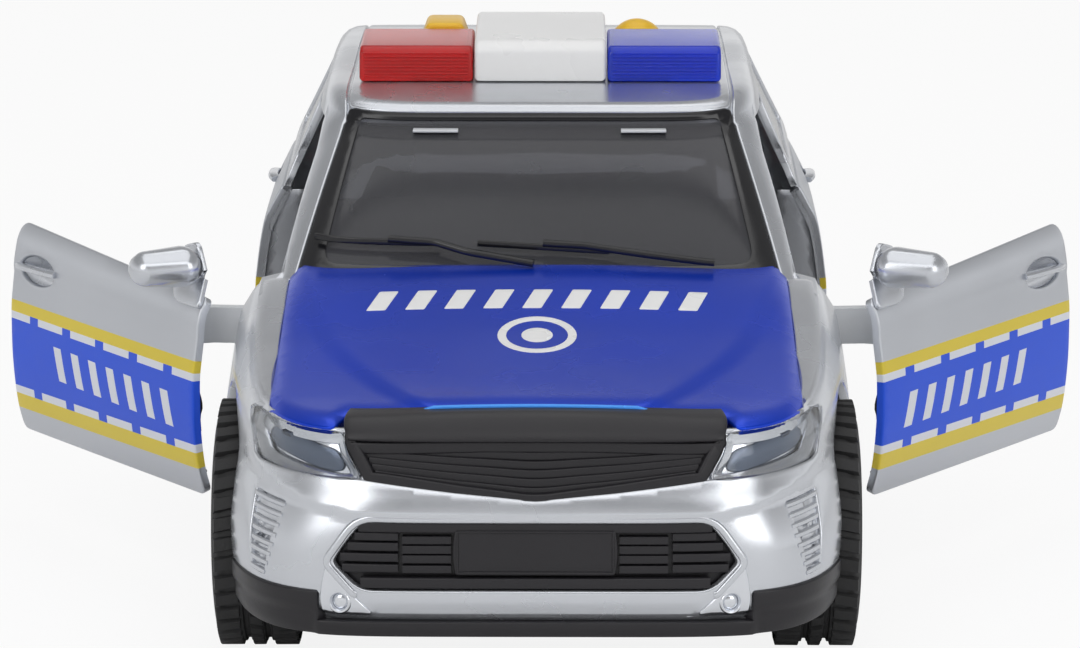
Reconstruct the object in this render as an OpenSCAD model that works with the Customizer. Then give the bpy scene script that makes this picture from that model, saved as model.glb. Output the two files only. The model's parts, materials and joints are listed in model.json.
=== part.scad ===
// Toy police car with opening front doors, a roof light bar and a friction drive.
// Lengths in millimetres. The nose points to -Y, +X is on the right seen from the front, +Z is up,
// and the origin lies on the ground under the middle of the car. Right and left are as seen from the front.

/* [Overall] */
// Width at the widest height of the sides
body_width = 108; // [106:1:112]
// Distance between the axles
wheelbase = 156; // [152:1:160]
// Front bumper to front axle
front_overhang = 45; // [43:1:47]
// Rear axle to rear bumper
rear_overhang = 47; // [45:1:52]
// Thickness of the body moulding
wall = 1.8; // [1.5:0.1:2]
// Gap between fitted pieces that do not move
fit_gap = 0.2; // [0.1:0.05:0.3]
// Gap between pieces that move past each other
run_gap = 0.4; // [0.3:0.05:0.5]
// Radial play of a shaft in its bearing
shaft_play = 0.06; // [0.03:0.01:0.1]

/* [Body form] */
// Lower edge of the body at the nose and the tail
sill_height = 16.4; // [16:0.1:17]
// Lower edge of the body behind the front doors
sill_low = 14.8; // [14.5:0.1:15.5]
// Top edge of the body at the nose
nose_height = 46.8; // [46:0.1:48]
// Top edge of the wings over the front axle
wing_height = 50.2; // [49.5:0.1:51]
// Top edge of the wings at the foot of the screen
cowl_height = 55.2; // [54.5:0.1:56]
// Belt line at the centre pillar
belt_height = 58.2; // [57.5:0.1:59]
// Belt line over the rear axle
haunch_height = 59.5; // [59:0.1:60.5]
// Belt line at the tail
tail_height = 58.5; // [58:0.1:59.5]
// How far the sides lean in at the top edge
shoulder_tuck = 5.4; // [4.5:0.1:6]
// How far the nose and tail lean in at the top edge
nose_tuck = 5; // [4:0.1:6]
// Rise of the middle of the bonnet over its edges
deck_crown = 1.5; // [1:0.1:2]
// Front axle to the foot of the screen pillars
cowl_setback = 33; // [32:0.5:34]

/* [Cabin form] */
// Height of the roof
roof_height = 80.8; // [79:0.1:83]
// Half width of the cabin at the belt line
cabin_half_base = 48.3; // [47.5:0.1:48.5]
// Half width of the cabin at the roof rail
cabin_half_roof = 40; // [39:0.1:41]
// Foot of the screen ahead of the foot of its pillars
screen_bow = 7; // [6:0.5:8]
// Slope length of the screen seen from above
screen_run = 41; // [39:0.5:43]
// Tail end to the foot of the rear window
tail_setback = 10; // [9:0.5:11]
// Slope length of the rear window seen from above
tail_run = 16; // [14:0.5:18]
// Rounding between roof and sides
roof_round = 3; // [2.5:0.1:3.5]
// Drop of the roof at its front edge
roof_front_drop = 1.5; // [1:0.1:2]
// Drop of the roof at its rear edge
roof_rear_drop = 4.4; // [4:0.1:5]

/* [Wheels] */
// Radius of a tyre
tyre_radius = 20.8; // [20:0.1:21.5]
// Width of a tyre
tyre_width = 15; // [14:0.5:16]
// Radius of the hub inside the tyre
hub_radius = 13.6; // [12.5:0.1:14.5]
// Radius of the axle rods
axle_radius = 1.5; // [1.2:0.1:1.8]
// Gap between tyre and wheel arch
arch_gap = 3.2; // [3:0.1:4]

/* [Doors] */
// Hinge pin ahead of the front edge of the door
hinge_lead = 13; // [12.5:0.1:13.5]
// Hinge pin to the middle of the car
hinge_offset = 48; // [47.5:0.1:48.5]
// Foot of the screen pillar to the front edge of the door
door_setback = 2; // [1.5:0.1:3]
// Length of a door
door_length = 66; // [64:0.5:67]
// Thickness of the door skin
door_wall = 1.6; // [1.4:0.1:1.8]
// Gap round a door
door_gap = 0.9; // [0.8:0.05:1.2]
// Angle of the doors as they stand
door_angle = 35; // [0:1:35]
// Thickness of the inner door card
card_thick = 2.4; // [2:0.1:2.6]
// Height of the goose neck hinge arm
arm_height = 6.3; // [5.5:0.1:6.6]
// Thickness of the hinge arm
arm_thick = 2.4; // [2:0.1:2.6]
// Radius of the hinge pin
pin_radius = 1.2; // [1:0.05:1.3]

/* [Front end] */
// Half width of the upper grille at its top corners
grille_half = 30.4; // [29.5:0.1:31]
// Height of the middle of the upper grille's lower edge
grille_foot = 36.6; // [36:0.1:37.5]
// Half width of the lower grille at its side points
intake_half = 32.6; // [32:0.1:33]
// Height of the lower grille's lower edge
intake_foot = 21.6; // [21:0.1:22]
// Height of the lower grille's upper edge
intake_top = 32.5; // [32:0.1:33]
// Half width of the blank number plate
plate_half = 12.5; // [11.5:0.1:13]
// Height of the number plate
plate_height = 7.2; // [6.5:0.1:7.4]
// Outer end of a headlamp from the middle of the car
lamp_outer = 46; // [45.5:0.1:46.3]
// Height of a headlamp's lower edge
lamp_foot = 39.4; // [39:0.1:40]
// Height of a headlamp's upper edge
lamp_top = 45.6; // [45:0.1:46]
// Lower edge of the skirts above the ground
skirt_foot = 14; // [13.5:0.1:14.4]
// Height of the skirts at the corners
skirt_corner = 21; // [20.5:0.1:21.5]
// Half width of the low middle part of the skirts
skirt_step = 34.6; // [34.3:0.1:35]

/* [Light bar and buttons] */
// Half length of the light bar
bar_half = 33.2; // [32:0.1:34]
// Half width of the white centre housing
bar_centre_half = 12.1; // [11.5:0.1:12.5]
// Height of the coloured lenses
lens_height = 6.3; // [5.5:0.1:7]
// Depth of the coloured lenses, front to back
lens_depth = 23; // [21:0.5:24]
// Height of the centre housing
centre_height = 8; // [7.5:0.1:8.5]
// Depth of the centre housing, front to back
centre_depth = 37; // [35:0.5:38]
// Front of the roof to the front of the light bar
bar_setback = 18; // [17:0.5:20]
// Width of a push button
button_width = 10.4; // [9:0.1:11]
// Height of a push button over the roof
button_height = 7; // [6:0.1:7.5]
// Travel of a push button
button_travel = 1.2; // [0.8:0.1:1.4]

/* [Drive] */
// Tooth size of the gears, pitch diameter per tooth
tooth_module = 0.6; // [0.55:0.01:0.62]
// Width of the gear teeth
gear_width = 4; // [3.5:0.1:4.4]
// Radius of the flywheel
flywheel_radius = 9.2; // [8.5:0.1:9.4]
// Width of the flywheel
flywheel_width = 7; // [6:0.1:7.5]
// Inside width of the gearbox frame
gearbox_inside = 22; // [21.5:0.1:23]
// Radius of the idler and flywheel shafts
shaft_radius = 1; // [0.8:0.05:1]

/* [Cabin fittings and electrics] */
// Thickness of the chassis floor
floor_thick = 1.8; // [1.6:0.1:2]
// Underside of the chassis above the ground
floor_height = 12.4; // [12:0.1:12.6]
// Height of the tub under the front seats
tub_height = 32.5; // [31.5:0.1:33.5]
// Height of the tub behind the rear bench
tub_rear_height = 46.5; // [46:0.1:47.5]
// Thickness of the tub
tub_thick = 1.5; // [1.3:0.1:1.8]
// Width of a front seat
seat_width = 24; // [22:0.5:25]
// Height of a seat with its headrest
seat_height = 34; // [32:0.5:34.5]
// Radius of the steering wheel
steer_radius = 8; // [7:0.1:8.5]
// Radius of a battery cell
cell_radius = 7.1; // [6.9:0.1:7.2]
// Length of a battery cell
cell_length = 50; // [49:0.1:51]
// Radius of the speaker
speaker_radius = 13; // [11:0.5:13.5]
// Thickness of the circuit board
board_thick = 1.6; // [1.2:0.1:1.8]

/* [Hidden] */
half_length = (front_overhang + wheelbase + rear_overhang) / 2;
half_width = body_width / 2;
front_axle_y = front_overhang - half_length;
rear_axle_y = front_axle_y + wheelbase;
axle_z = tyre_radius;
tyre_inner = half_width - tyre_width;
arch_radius = tyre_radius + arch_gap;
overrun = 2 * wall;
cowl_y = front_axle_y + cowl_setback;
door_front_y = cowl_y + door_setback;
door_rear_y = door_front_y + door_length;
hinge_y = door_front_y - hinge_lead;
screen_foot_y = cowl_y - screen_bow;
screen_top_y = screen_foot_y + screen_run;
tail_foot_y = half_length - tail_setback;
tail_top_y = tail_foot_y - tail_run;

// Smooth curve through a table of places and values
function rise(t, i) = (t[i + 1][1] - t[i][1]) / (t[i + 1][0] - t[i][0]);
function slope(t, i) =
    i == 0 ? rise(t, 0)
    : i == len(t) - 1 ? rise(t, i - 1)
    : rise(t, i - 1) * rise(t, i) <= 0 ? 0
    : (t[i + 1][1] - t[i - 1][1]) / (t[i + 1][0] - t[i - 1][0]);
function knot(v, t, i = 0) = i >= len(t) - 2 || v < t[i + 1][0] ? i : knot(v, t, i + 1);
function hermite(s, a, b, sa, sb) =
    (2 * pow(s, 3) - 3 * pow(s, 2) + 1) * a + (pow(s, 3) - 2 * pow(s, 2) + s) * sa
    + (3 * pow(s, 2) - 2 * pow(s, 3)) * b + (pow(s, 3) - pow(s, 2)) * sb;
function spline(v, t) =
    let (i = knot(v, t))
    let (w = t[i + 1][0] - t[i][0])
    let (s = max(0, min(1, (v - t[i][0]) / w)))
    hermite(s, t[i][1], t[i + 1][1], w * slope(t, i), w * slope(t, i + 1));
function mix(a, b, s) = a + (b - a) * s;
function power(v, e) = sign(v) * pow(abs(v), e);
function oval(t, half_x, half_y, e) = [half_x * power(sin(t), 2 / e), -half_y * power(cos(t), 2 / e)];
function oval_other(v, e) = pow(1 - min(1, pow(abs(v), e)), 1 / e);

// Form of the lower body: a rounded plan outline that leans in towards the top edge

lip_rise_share = 0.2;
deck_line = [
    [nose_tuck - half_length, nose_height],
    [front_axle_y - arch_radius, mix(nose_height, wing_height, lip_rise_share)],
    [front_axle_y, wing_height],
    [cowl_y, cowl_height],
    [door_rear_y, belt_height],
    [rear_axle_y, haunch_height],
    [half_length - nose_tuck, tail_height]
];
sill_line = [
    [cowl_y, sill_height],
    [door_rear_y, sill_low],
    [rear_axle_y, sill_low],
    [rear_axle_y + arch_radius, sill_height]
];
side_tuck_shares = [
    [0, 0.46], [0.134, 0.18], [0.325, 0.02], [0.5, 0], [0.603, 0.04], [0.844, 0.35], [0.923, 0.66], [1, 1]
];
end_tuck_shares = [
    [0, 0.3], [0.08, 0.04], [0.2, 0], [0.45, 0.04], [0.62, 0.2], [0.75, 0.42], [0.88, 0.7], [0.95, 0.86], [1, 1]
];
corner_power_shares = [[0, 6.2], [0.35, 5.6], [0.7, 4.6], [1, 5.6]];
level_shares = [0, 0.06, 0.134, 0.3, 0.5, 0.65, 0.76, 0.84, 0.9, 0.95, 1];
loop_points = 60;
cap_columns = 6;

function deck_z(y) = spline(y, deck_line);
function sill_z(y) = spline(y, sill_line);
function body_half(h) = half_width - shoulder_tuck * spline(h, side_tuck_shares);
function body_reach(h) = half_length - nose_tuck * spline(h, end_tuck_shares);
function corner_power(h) = spline(h, corner_power_shares);
function level(y, z) = max(0, min(1, (z - sill_z(y)) / (deck_z(y) - sill_z(y))));
function level_z(y, h) = mix(sill_z(y), deck_z(y), h);
function reach_at(x, h) = body_reach(h) * oval_other(x / body_half(h), corner_power(h));
function half_at(y, h) = body_half(h) * oval_other(y / body_reach(h), corner_power(h));

// Place of the nose (s = -1) or tail (s = 1) at a point of the front view
function end_y(x, z, s, turns = 6) =
    turns == 0 ? s * half_length : s * reach_at(x, level(end_y(x, z, s, turns - 1), z));
function side_x(y, z) = half_at(y, level(y, z));
function deck_top(x, y) = deck_z(y) + deck_crown * (1 - min(1, pow(x / max(half_at(y, 1), fit_gap), 2)));

function body_loop(h, inset) = [
    for (k = [0:loop_points - 1])
        let (o = oval(360 * k / loop_points, body_half(h) - inset, body_reach(h) - inset, corner_power(h)))
        let (foot = sill_z(o[1]) - (inset > 0 ? overrun : 0))
        [o[0], o[1], mix(foot, deck_z(o[1]) - inset, h)]
];
function cap_rows(loop, crown) = [
    for (i = [1:loop_points / 2 - 1])
        for (j = [1:cap_columns - 1])
            let (u = 1 - 2 * j / cap_columns)
            [u * loop[i][0], loop[i][1], loop[i][2] + crown * (1 - u * u)]
];

// Form of the cabin: from the belt line up to a rounded roof

cabin_power_share = 7;
cabin_shares = [0, 0.25, 0.5, 0.75, 1];
round_angles = [30, 60, 90];
roof_fall_share = 0.36;
roof_line = [
    [screen_top_y, roof_height - roof_front_drop],
    [screen_top_y + bar_setback, roof_height],
    [screen_top_y + bar_setback + centre_depth, roof_height],
    [rear_axle_y, roof_height - roof_rear_drop * roof_fall_share],
    [tail_top_y, roof_height - roof_rear_drop]
];

function roof_z(y) = spline(y, roof_line);
function cabin_half(g) = mix(cabin_half_base, cabin_half_roof, g);
function cabin_front(g) = mix(screen_foot_y, screen_top_y, g);
function cabin_rear(g) = mix(tail_foot_y, tail_top_y, g);
function cabin_mid(g) = (cabin_front(g) + cabin_rear(g)) / 2;
function cabin_reach(g) = (cabin_rear(g) - cabin_front(g)) / 2;
function cabin_z(y, g) = mix(deck_z(y), roof_z(y) - roof_round, g);
function cabin_x(y, g) = cabin_half(g) * oval_other((y - cabin_mid(g)) / cabin_reach(g), cabin_power_share);
function cabin_y(x, g, s) =
    cabin_mid(g) + s * cabin_reach(g) * oval_other(x / cabin_half(g), cabin_power_share);
function cabin_loop(g, angle, inset, sink) = [
    for (k = [0:loop_points - 1])
        let (in = inset + roof_round * (1 - cos(angle)))
        let (o = oval(360 * k / loop_points, cabin_half(g) - in, cabin_reach(g) - in, cabin_power_share))
        let (y = cabin_mid(g) + o[1])
        [o[0], y, mix(deck_z(y) - sink, roof_z(y) - roof_round - inset, g) + roof_round * sin(angle)]
];

// Solids from loops of points and from grids of points

module loft(loops, cap) {
    n = loop_points;
    top = (len(loops) - 1) * n;
    extra = len(loops) * n;
    m = cap_columns;
    function place(i, j) = j == 0 ? top + i : j == m ? top + n - i : extra + (i - 1) * (m - 1) + j - 1;
    polyhedron(
        points = concat([for (loop = loops) each loop], cap),
        faces = concat(
            [[for (k = [0:n - 1]) k]],
            [for (l = [0:len(loops) - 2]) for (k = [0:n - 1])
                let (a = l * n + k, b = l * n + (k + 1) % n)
                each [[a, a + n, b + n], [a, b + n, b]]],
            [for (j = [0:m - 1]) [top, place(1, j + 1), place(1, j)]],
            [for (i = [1:n / 2 - 2]) for (j = [0:m - 1])
                each [[place(i, j), place(i, j + 1), place(i + 1, j + 1)],
                      [place(i, j), place(i + 1, j + 1), place(i + 1, j)]]],
            [for (j = [0:m - 1]) [top + n / 2, place(n / 2 - 1, j), place(n / 2 - 1, j + 1)]]
        )
    );
}

// A plate between two grids of points, each given row by row from below, left to right from outside
module slab(outer, inner) {
    r = len(outer);
    c = len(outer[0]);
    n = r * c;
    function strip(a, b) = [[a, a + n, b + n], [a, b + n, b]];
    polyhedron(
        points = concat([for (row = outer) each row], [for (row = inner) each row]),
        faces = concat(
            [for (i = [0:r - 2]) for (j = [0:c - 2])
                let (a = i * c + j)
                each [[a, a + c, a + c + 1], [a, a + c + 1, a + 1],
                      [a + n, a + n + c + 1, a + n + c], [a + n, a + n + 1, a + n + c + 1]]],
            [for (j = [0:c - 2]) each strip(j + 1, j)],
            [for (j = [0:c - 2]) each strip((r - 1) * c + j, (r - 1) * c + j + 1)],
            [for (i = [0:r - 2]) each strip(i * c, (i + 1) * c)],
            [for (i = [0:r - 2]) each strip((i + 1) * c + c - 1, i * c + c - 1)]
        )
    );
}

function grid(rows, columns) = [for (i = [0:rows]) [for (j = [0:columns]) [j / columns, i / rows]]];
function lay(places, values) = [for (row = places) [for (p = row) values(p[0], p[1])]];

// Skin patches: out and in are heights over the outer face, grow widens the outline

module end_patch(foot, top, inner, outer, s, out, in, grow = 0, rows = 6, columns = 10) {
    function place(u, v, depth) =
        let (z = mix(foot - grow, top + grow, v))
        let (x = mix(lookup(v, inner) - grow, lookup(v, outer) + grow, s < 0 ? u : 1 - u))
        [x, end_y(x, z, s) + s * depth, z];
    cells = grid(rows, columns);
    slab(lay(cells, function(u, v) place(u, v, out)), lay(cells, function(u, v) place(u, v, in)));
}

module side_patch(front, rear, foot_share, top_share, out, in, grow = 0, rows = 10, columns = 8) {
    function place(u, v, depth) =
        let (y = mix(front - grow, rear + grow, u))
        let (z = mix(level_z(y, foot_share) - grow, level_z(y, top_share) + grow, v))
        [side_x(y, z) + depth, y, z];
    cells = grid(rows, columns);
    slab(lay(cells, function(u, v) place(u, v, out)), lay(cells, function(u, v) place(u, v, in)));
}

module cabin_side_patch(front, rear, foot_share, top_share, out, in, grow = 0, rows = 4, columns = 5) {
    lean = grow / (roof_height - belt_height);
    function place(u, v, depth) =
        let (g = mix(foot_share - lean, top_share + lean, v))
        let (y = mix(lookup(v, front) - grow, lookup(v, rear) + grow, u))
        [cabin_x(y, g) + depth, y, cabin_z(y, g)];
    cells = grid(rows, columns);
    slab(lay(cells, function(u, v) place(u, v, out)), lay(cells, function(u, v) place(u, v, in)));
}

module cabin_end_patch(foot_share, top_share, width_share, s, out, in, grow = 0, rows = 6, columns = 12) {
    lean = grow / (roof_height - belt_height);
    function place(u, v, depth) =
        let (g = mix(foot_share - lean, top_share + lean, v))
        let (x = -s * (2 * u - 1) * (width_share * cabin_half(g) + grow))
        let (y = cabin_y(x, g, s))
        [x, y + s * depth, cabin_z(y, g)];
    cells = grid(rows, columns);
    slab(lay(cells, function(u, v) place(u, v, out)), lay(cells, function(u, v) place(u, v, in)));
}

module along_x(start, length) {
    translate([start, 0, 0]) rotate([90, 0, 90]) linear_extrude(length) children();
}

module rod_x(start, length, radius) {
    along_x(start, length) circle(radius, $fn = 48);
}

module right_and_left() {
    children();
    mirror([1, 0, 0]) children();
}

// A child drawn on the closed right-hand door, swung open with it
module on_right_door() {
    translate([hinge_offset, hinge_y, 0])
        rotate([0, 0, -door_angle])
            translate([-hinge_offset, -hinge_y, 0]) children();
}

module on_left_door() {
    mirror([1, 0, 0]) on_right_door() children();
}

// Body shell

door_top_share = 0.925;
pillar_width = 8;
post_radius = 3.2;
screw_radius = 1.2;
screw_y = front_axle_y - arch_radius + 4 * screw_radius;
screw_x = 24;
rear_screw_y = rear_axle_y + arch_radius;
corner_round = 2;
front_rail_share = 0.94;
window_foot_share = 0.1;
rear_window_front = [[0, door_rear_y + pillar_width], [1, door_rear_y + pillar_width]];
rear_window_rear = [[0, rear_axle_y], [1, rear_axle_y - pillar_width]];
quarter_front = [[0, rear_axle_y + pillar_width], [1, rear_axle_y]];
quarter_rear = [[0, tail_foot_y - 2 * pillar_width], [1, tail_top_y - 3 * pillar_width / 2]];
screen_foot_share = 0.1;
screen_top_share = 0.97;
screen_width_share = 0.88;
tail_width_share = 0.8;
vent_ribs = 7;
vent_top = 34;
vent_pitch = 1.75;
vent_rib_radius = 0.5;
vent_outer = 45;
vent_lean_share = 0.09;

module cabin_solid(inset, sink) {
    loops = concat(
        [cabin_loop(0, 0, inset, sink)],
        [for (g = cabin_shares) cabin_loop(g, 0, inset, 0)],
        [for (a = round_angles) cabin_loop(1, a, inset, 0)]
    );
    loft(loops, cap_rows(loops[len(loops) - 1], 0));
}

module body_solid(inset) {
    loops = [for (h = level_shares) body_loop(h, inset)];
    loft(loops, cap_rows(loops[len(loops) - 1], deck_crown));
}

// Opening of a doorway with the window over it, right through both sides
module doorway() {
    reach = half_width + overrun;
    rail_z = cabin_z(0, front_rail_share) - corner_round;
    belt_z = level_z(door_front_y, door_top_share);
    front = door_front_y - door_gap + corner_round;
    rear = door_rear_y + door_gap - corner_round;
    rail_front = mix(cowl_y, screen_top_y, front_rail_share) + 3 * pillar_width / 2;
    module corner(y, z) {
        translate([-reach, y, z]) rotate([0, 90, 0]) cylinder(h = 2 * reach, r = corner_round, $fn = 24);
    }
    hull() {
        corner(front, floor_height);
        corner(rear, floor_height);
        corner(front, belt_z);
        corner(rear, belt_z);
    }
    hull() {
        corner(front, belt_z);
        corner(rear, belt_z);
        corner(rail_front, rail_z);
        corner(rear, rail_z);
    }
}

// Raised rib of the air vent moulded into a front corner
module vent_rib(i) {
    z = vent_top - i * vent_pitch;
    length = (vent_ribs + 1 - i) * vent_pitch * vent_lean_share * vent_ribs;
    hull() for (x = [vent_outer, vent_outer - length])
        translate([x, end_y(x, z, -1) + vent_rib_radius / 2, z]) sphere(vent_rib_radius, $fn = 6);
}

module body_shell() {
    post_top = deck_top(screw_x, screw_y) - bonnet_thick - 2 * fit_gap;
    arch_inner = tyre_inner - arch_gap;
    color("silver") difference() {
        union() {
            difference() {
                union() {
                    body_solid(0);
                    cabin_solid(0, wall);
                }
                body_solid(wall);
                cabin_solid(wall, overrun + deck_crown + wall);
            }
            right_and_left() for (i = [0:vent_ribs - 1]) vent_rib(i);
            right_and_left() translate([screw_x, screw_y, floor_boss_top + fit_gap])
                cylinder(h = post_top - floor_boss_top - fit_gap, r = post_radius, $fn = 24);
            right_and_left() translate([board_post_x, board_post_y, board_top])
                cylinder(h = roof_height - wall - board_top + fit_gap, r = post_radius, $fn = 24);
        }
        doorway();
        right_and_left() for (y = [front_axle_y, rear_axle_y]) translate([arch_inner, y, axle_z])
            rotate([0, 90, 0]) cylinder(h = half_width + overrun - arch_inner, r = arch_radius, $fn = 48);
        bonnet_patch(overrun, -bonnet_thick - fit_gap, fit_gap);
        upper_grille_patch(overrun, -3 * wall, fit_gap);
        intake_patch(overrun, -3 * wall, fit_gap);
        right_and_left() {
            headlamp_patch(overrun, -3 * wall, fit_gap);
            fog_patch(overrun, -2 * wall, fit_gap);
            tail_lamp_patch(overrun, -2 * wall, fit_gap);
            rear_side_window(overrun, -2 * wall, fit_gap);
            quarter_window(overrun, -2 * wall, fit_gap);
            translate([screw_x, screw_y, floor_height])
                cylinder(h = axle_z, r = screw_radius + run_gap, $fn = 24);
            translate([lamp_bulb_x, lamp_bulb_y, board_top])
                cylinder(h = roof_height, r = bulb_radius + run_gap, $fn = 24);
            translate([button_x, button_y, board_top])
                cylinder(h = roof_height, r = stem_radius + run_gap, $fn = 24);
            for (s = [-1, 1]) skirt_notch(s);
        }
        screen_patch(-1, overrun, -2 * wall, fit_gap);
        screen_patch(1, overrun, -3 * wall, fit_gap);
    }
}

// Bonnet, let into the body between the wings

bonnet_thick = 1;
bonnet_half = 42.8;
bonnet_edge = 1.2;
bonnet_raise = 0.7;
bonnet_tail = 2;
bonnet_fold_shares = [[0, 0.99], [0.47, 0.81], [0.8, 0.57], [1, 0.3]];
bonnet_fold_width = 4;
bonnet_rows = 14;
bonnet_columns = 16;

function bonnet_front(x) = bonnet_edge - reach_at(x, 1);
function bonnet_rear(x) = cabin_y(x, screen_foot_share, -1) - bonnet_tail;
// Height of the raised middle field, which narrows towards the nose
function bonnet_field(x, y) =
    let (s = (bonnet_rear(0) - y) / (bonnet_rear(0) - bonnet_front(0)))
    let (edge = bonnet_half * spline(s, bonnet_fold_shares))
    bonnet_raise * max(0, min(1, (edge - abs(x)) / bonnet_fold_width));

module bonnet_patch(out, in, grow) {
    function place(u, v, depth) =
        let (x = (2 * u - 1) * (bonnet_half + grow))
        let (y = mix(bonnet_front(x) - grow, bonnet_rear(x) + grow, v))
        [x, y, deck_top(x, y) + depth + (depth > 0 ? bonnet_field(x, y) : 0)];
    cells = grid(bonnet_rows, bonnet_columns);
    slab(lay(cells, function(u, v) place(u, v, out)), lay(cells, function(u, v) place(u, v, in)));
}

module bonnet() {
    color("royalblue") bonnet_patch(fit_gap, -bonnet_thick, 0);
}

// Upper grille: horizontal slats between a sloping lower and upper edge

grille_foot_lift = 2.8;
grille_top = nose_height - bonnet_thick - 2 * fit_gap;
grille_foot_share = 0.855;
slat_count = 6;
slat_share = 0.5;
slat_depth = 1.2;
slat_slope_share = 0.1;
grille_thick = 2.2;

// Depths of the rows of a slatted plate, from its lower edge to its upper edge
function slat_rows(count, share, depth) = concat(
    [[0, 0]],
    [for (i = [0:count - 1]) let (a = (i + (1 - share) / 2) / count, b = a + share / count) let (e = slat_slope_share / count)
        each [[a - e, 0], [a, -depth], [b, -depth], [b + e, 0]]],
    [[1, 0]]
);
function grille_place(u, v, depth, grow) =
    let (half = mix(grille_half * grille_foot_share, grille_half, v) + grow)
    let (x = (2 * u - 1) * half)
    let (foot = grille_foot - grow + grille_foot_lift * abs(2 * u - 1))
    let (z = mix(foot, grille_top + grow, v))
    [x, end_y(x, z, -1) - depth, z];

module upper_grille_patch(out, in, grow) {
    cells = grid(6, 16);
    slab(
        lay(cells, function(u, v) grille_place(u, v, out, grow)),
        lay(cells, function(u, v) grille_place(u, v, in, grow))
    );
}

module upper_grille() {
    rows = slat_rows(slat_count, slat_share, slat_depth);
    columns = 16;
    color("dimgray") slab(
        [for (row = rows) [for (j = [0:columns]) grille_place(j / columns, row[0], row[1] - fit_gap, 0)]],
        [for (row = rows) [for (j = [0:columns]) grille_place(j / columns, row[0], -grille_thick, 0)]]
    );
}

// Lower grille: hexagonal intake with slats and a blank number plate

intake_waist_share = 0.4;
intake_foot_half_share = 0.873;
intake_top_half_share = 0.85;
intake_slats = 5;
plate_lift = 2.9;
plate_proud = 0.4;

function intake_half_at(v) = intake_half * lookup(v, [
    [0, intake_foot_half_share], [intake_waist_share, 1], [1, intake_top_half_share]
]);
function intake_place(u, v, depth, grow) =
    let (x = (2 * u - 1) * (intake_half_at(v) + grow))
    let (z = mix(intake_foot - grow, intake_top + grow, v))
    [x, end_y(x, z, -1) - depth, z];

module intake_patch(out, in, grow) {
    cells = grid(5, 14);
    slab(
        lay(cells, function(u, v) intake_place(u, v, out, grow)),
        lay(cells, function(u, v) intake_place(u, v, in, grow))
    );
}

module lower_grille() {
    rows = slat_rows(intake_slats, slat_share, slat_depth);
    columns = 14;
    plate_foot = intake_foot + plate_lift;
    edge = [[0, plate_half], [1, plate_half]];
    color("dimgray") {
        slab(
            [for (row = rows) [for (j = [0:columns]) intake_place(j / columns, row[0], row[1] - slat_depth, 0)]],
            [for (row = rows) [for (j = [0:columns]) intake_place(j / columns, row[0], -2 * grille_thick, 0)]]
        );
        end_patch(plate_foot, plate_foot + plate_height, -edge, edge, -1, plate_proud - slat_depth, -grille_thick,
            rows = 2, columns = 4);
    }
}

// Headlamps: a clear lens over a reflector

lamp_inner = grille_half + 4 * fit_gap;
lamp_inner_foot_share = 0.9;
lamp_outer_foot_share = 0.985;
lens_thick = 1;
reflector_depth = 2.6;
reflector_edge = 0.8;

lamp_inner_edge = [[0, lamp_inner * lamp_inner_foot_share], [1, lamp_inner]];
lamp_outer_edge = [[0, lamp_outer * lamp_outer_foot_share], [1, lamp_outer]];

module headlamp_patch(out, in, grow) {
    end_patch(lamp_foot, lamp_top, lamp_inner_edge, lamp_outer_edge, -1, out, in, grow, 5, 8);
}

module headlamp_lens() {
    headlamp_patch(0, -lens_thick, 0);
}

module headlamp_reflector() {
    headlamp_patch(-lens_thick - 3 * fit_gap, -lens_thick - reflector_depth, -reflector_edge);
}

module headlamp_lens_right() { color("lightcyan") headlamp_lens(); }
module headlamp_lens_left() { color("lightcyan") mirror([1, 0, 0]) headlamp_lens(); }
module headlamp_reflector_right() { color("slategray") headlamp_reflector(); }
module headlamp_reflector_left() { color("slategray") mirror([1, 0, 0]) headlamp_reflector(); }

// Fog lamps in the lower corners of the bumper

fog_lift = 1.2;
fog_inner_share = 0.81;
fog_knee_share = 0.45;
fog_foot = sill_height + fog_lift;
fog_top = intake_foot + intake_waist_share * (intake_top - intake_foot);
fog_outer_edge = [[0, skirt_step - 3 * fit_gap], [fog_knee_share, skirt_step - 3 * fit_gap], [1, intake_half + 4 * fit_gap]];
fog_inner_edge = [[0, intake_half * fog_inner_share], [1, intake_half + 2 * fit_gap]];
fog_proud = 0.3;

module fog_patch(out, in, grow) {
    end_patch(fog_foot, fog_top - grille_thick, fog_inner_edge, fog_outer_edge, -1, out, in, grow, 5, 4);
}

module fog_lamps() {
    color("gainsboro") right_and_left() fog_patch(fog_proud, -wall, 0);
}

// Tail lamps

tail_lamp_inner = 35;
tail_lamp_outer = 45.5;
tail_lamp_foot = 41;
tail_lamp_top = 54;

module tail_lamp_patch(out, in, grow) {
    end_patch(tail_lamp_foot, tail_lamp_top, [[0, tail_lamp_inner], [1, tail_lamp_inner]],
        [[0, tail_lamp_outer], [1, tail_lamp_outer]], 1, out, in, grow, 6, 6);
}

module tail_lamps() {
    color("firebrick") right_and_left() tail_lamp_patch(fit_gap, -wall, 0);
}

// Skirts under the bumpers: low in the middle, higher at the corners up to the wheel arches

skirt_thick = 2.2;
skirt_columns = 10;
skirt_level_share = 0.134;

function skirt_half() = body_half(skirt_level_share);
function skirt_reach() = body_reach(skirt_level_share);
function skirt_angle(y) = acos(pow(y / skirt_reach(), corner_power(0) / 2));
function step_angle(x) = asin(pow(x / skirt_half(), corner_power(0) / 2));
// The inner face of a corner stays clear of the body's edge beside it
function skirt_place(t, z, inset, least) =
    let (o = oval(t, skirt_half() - inset, skirt_reach() - inset, corner_power(0)))
    [sign(t) * max(abs(o[0]), least), o[1], z];

module skirt_notch(s) {
    reach = s < 0 ? -front_axle_y : rear_axle_y;
    translate([skirt_step, s < 0 ? -half_length - overrun : reach, 0])
        cube([half_width, half_length + overrun - reach, skirt_corner + fit_gap]);
}

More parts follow.
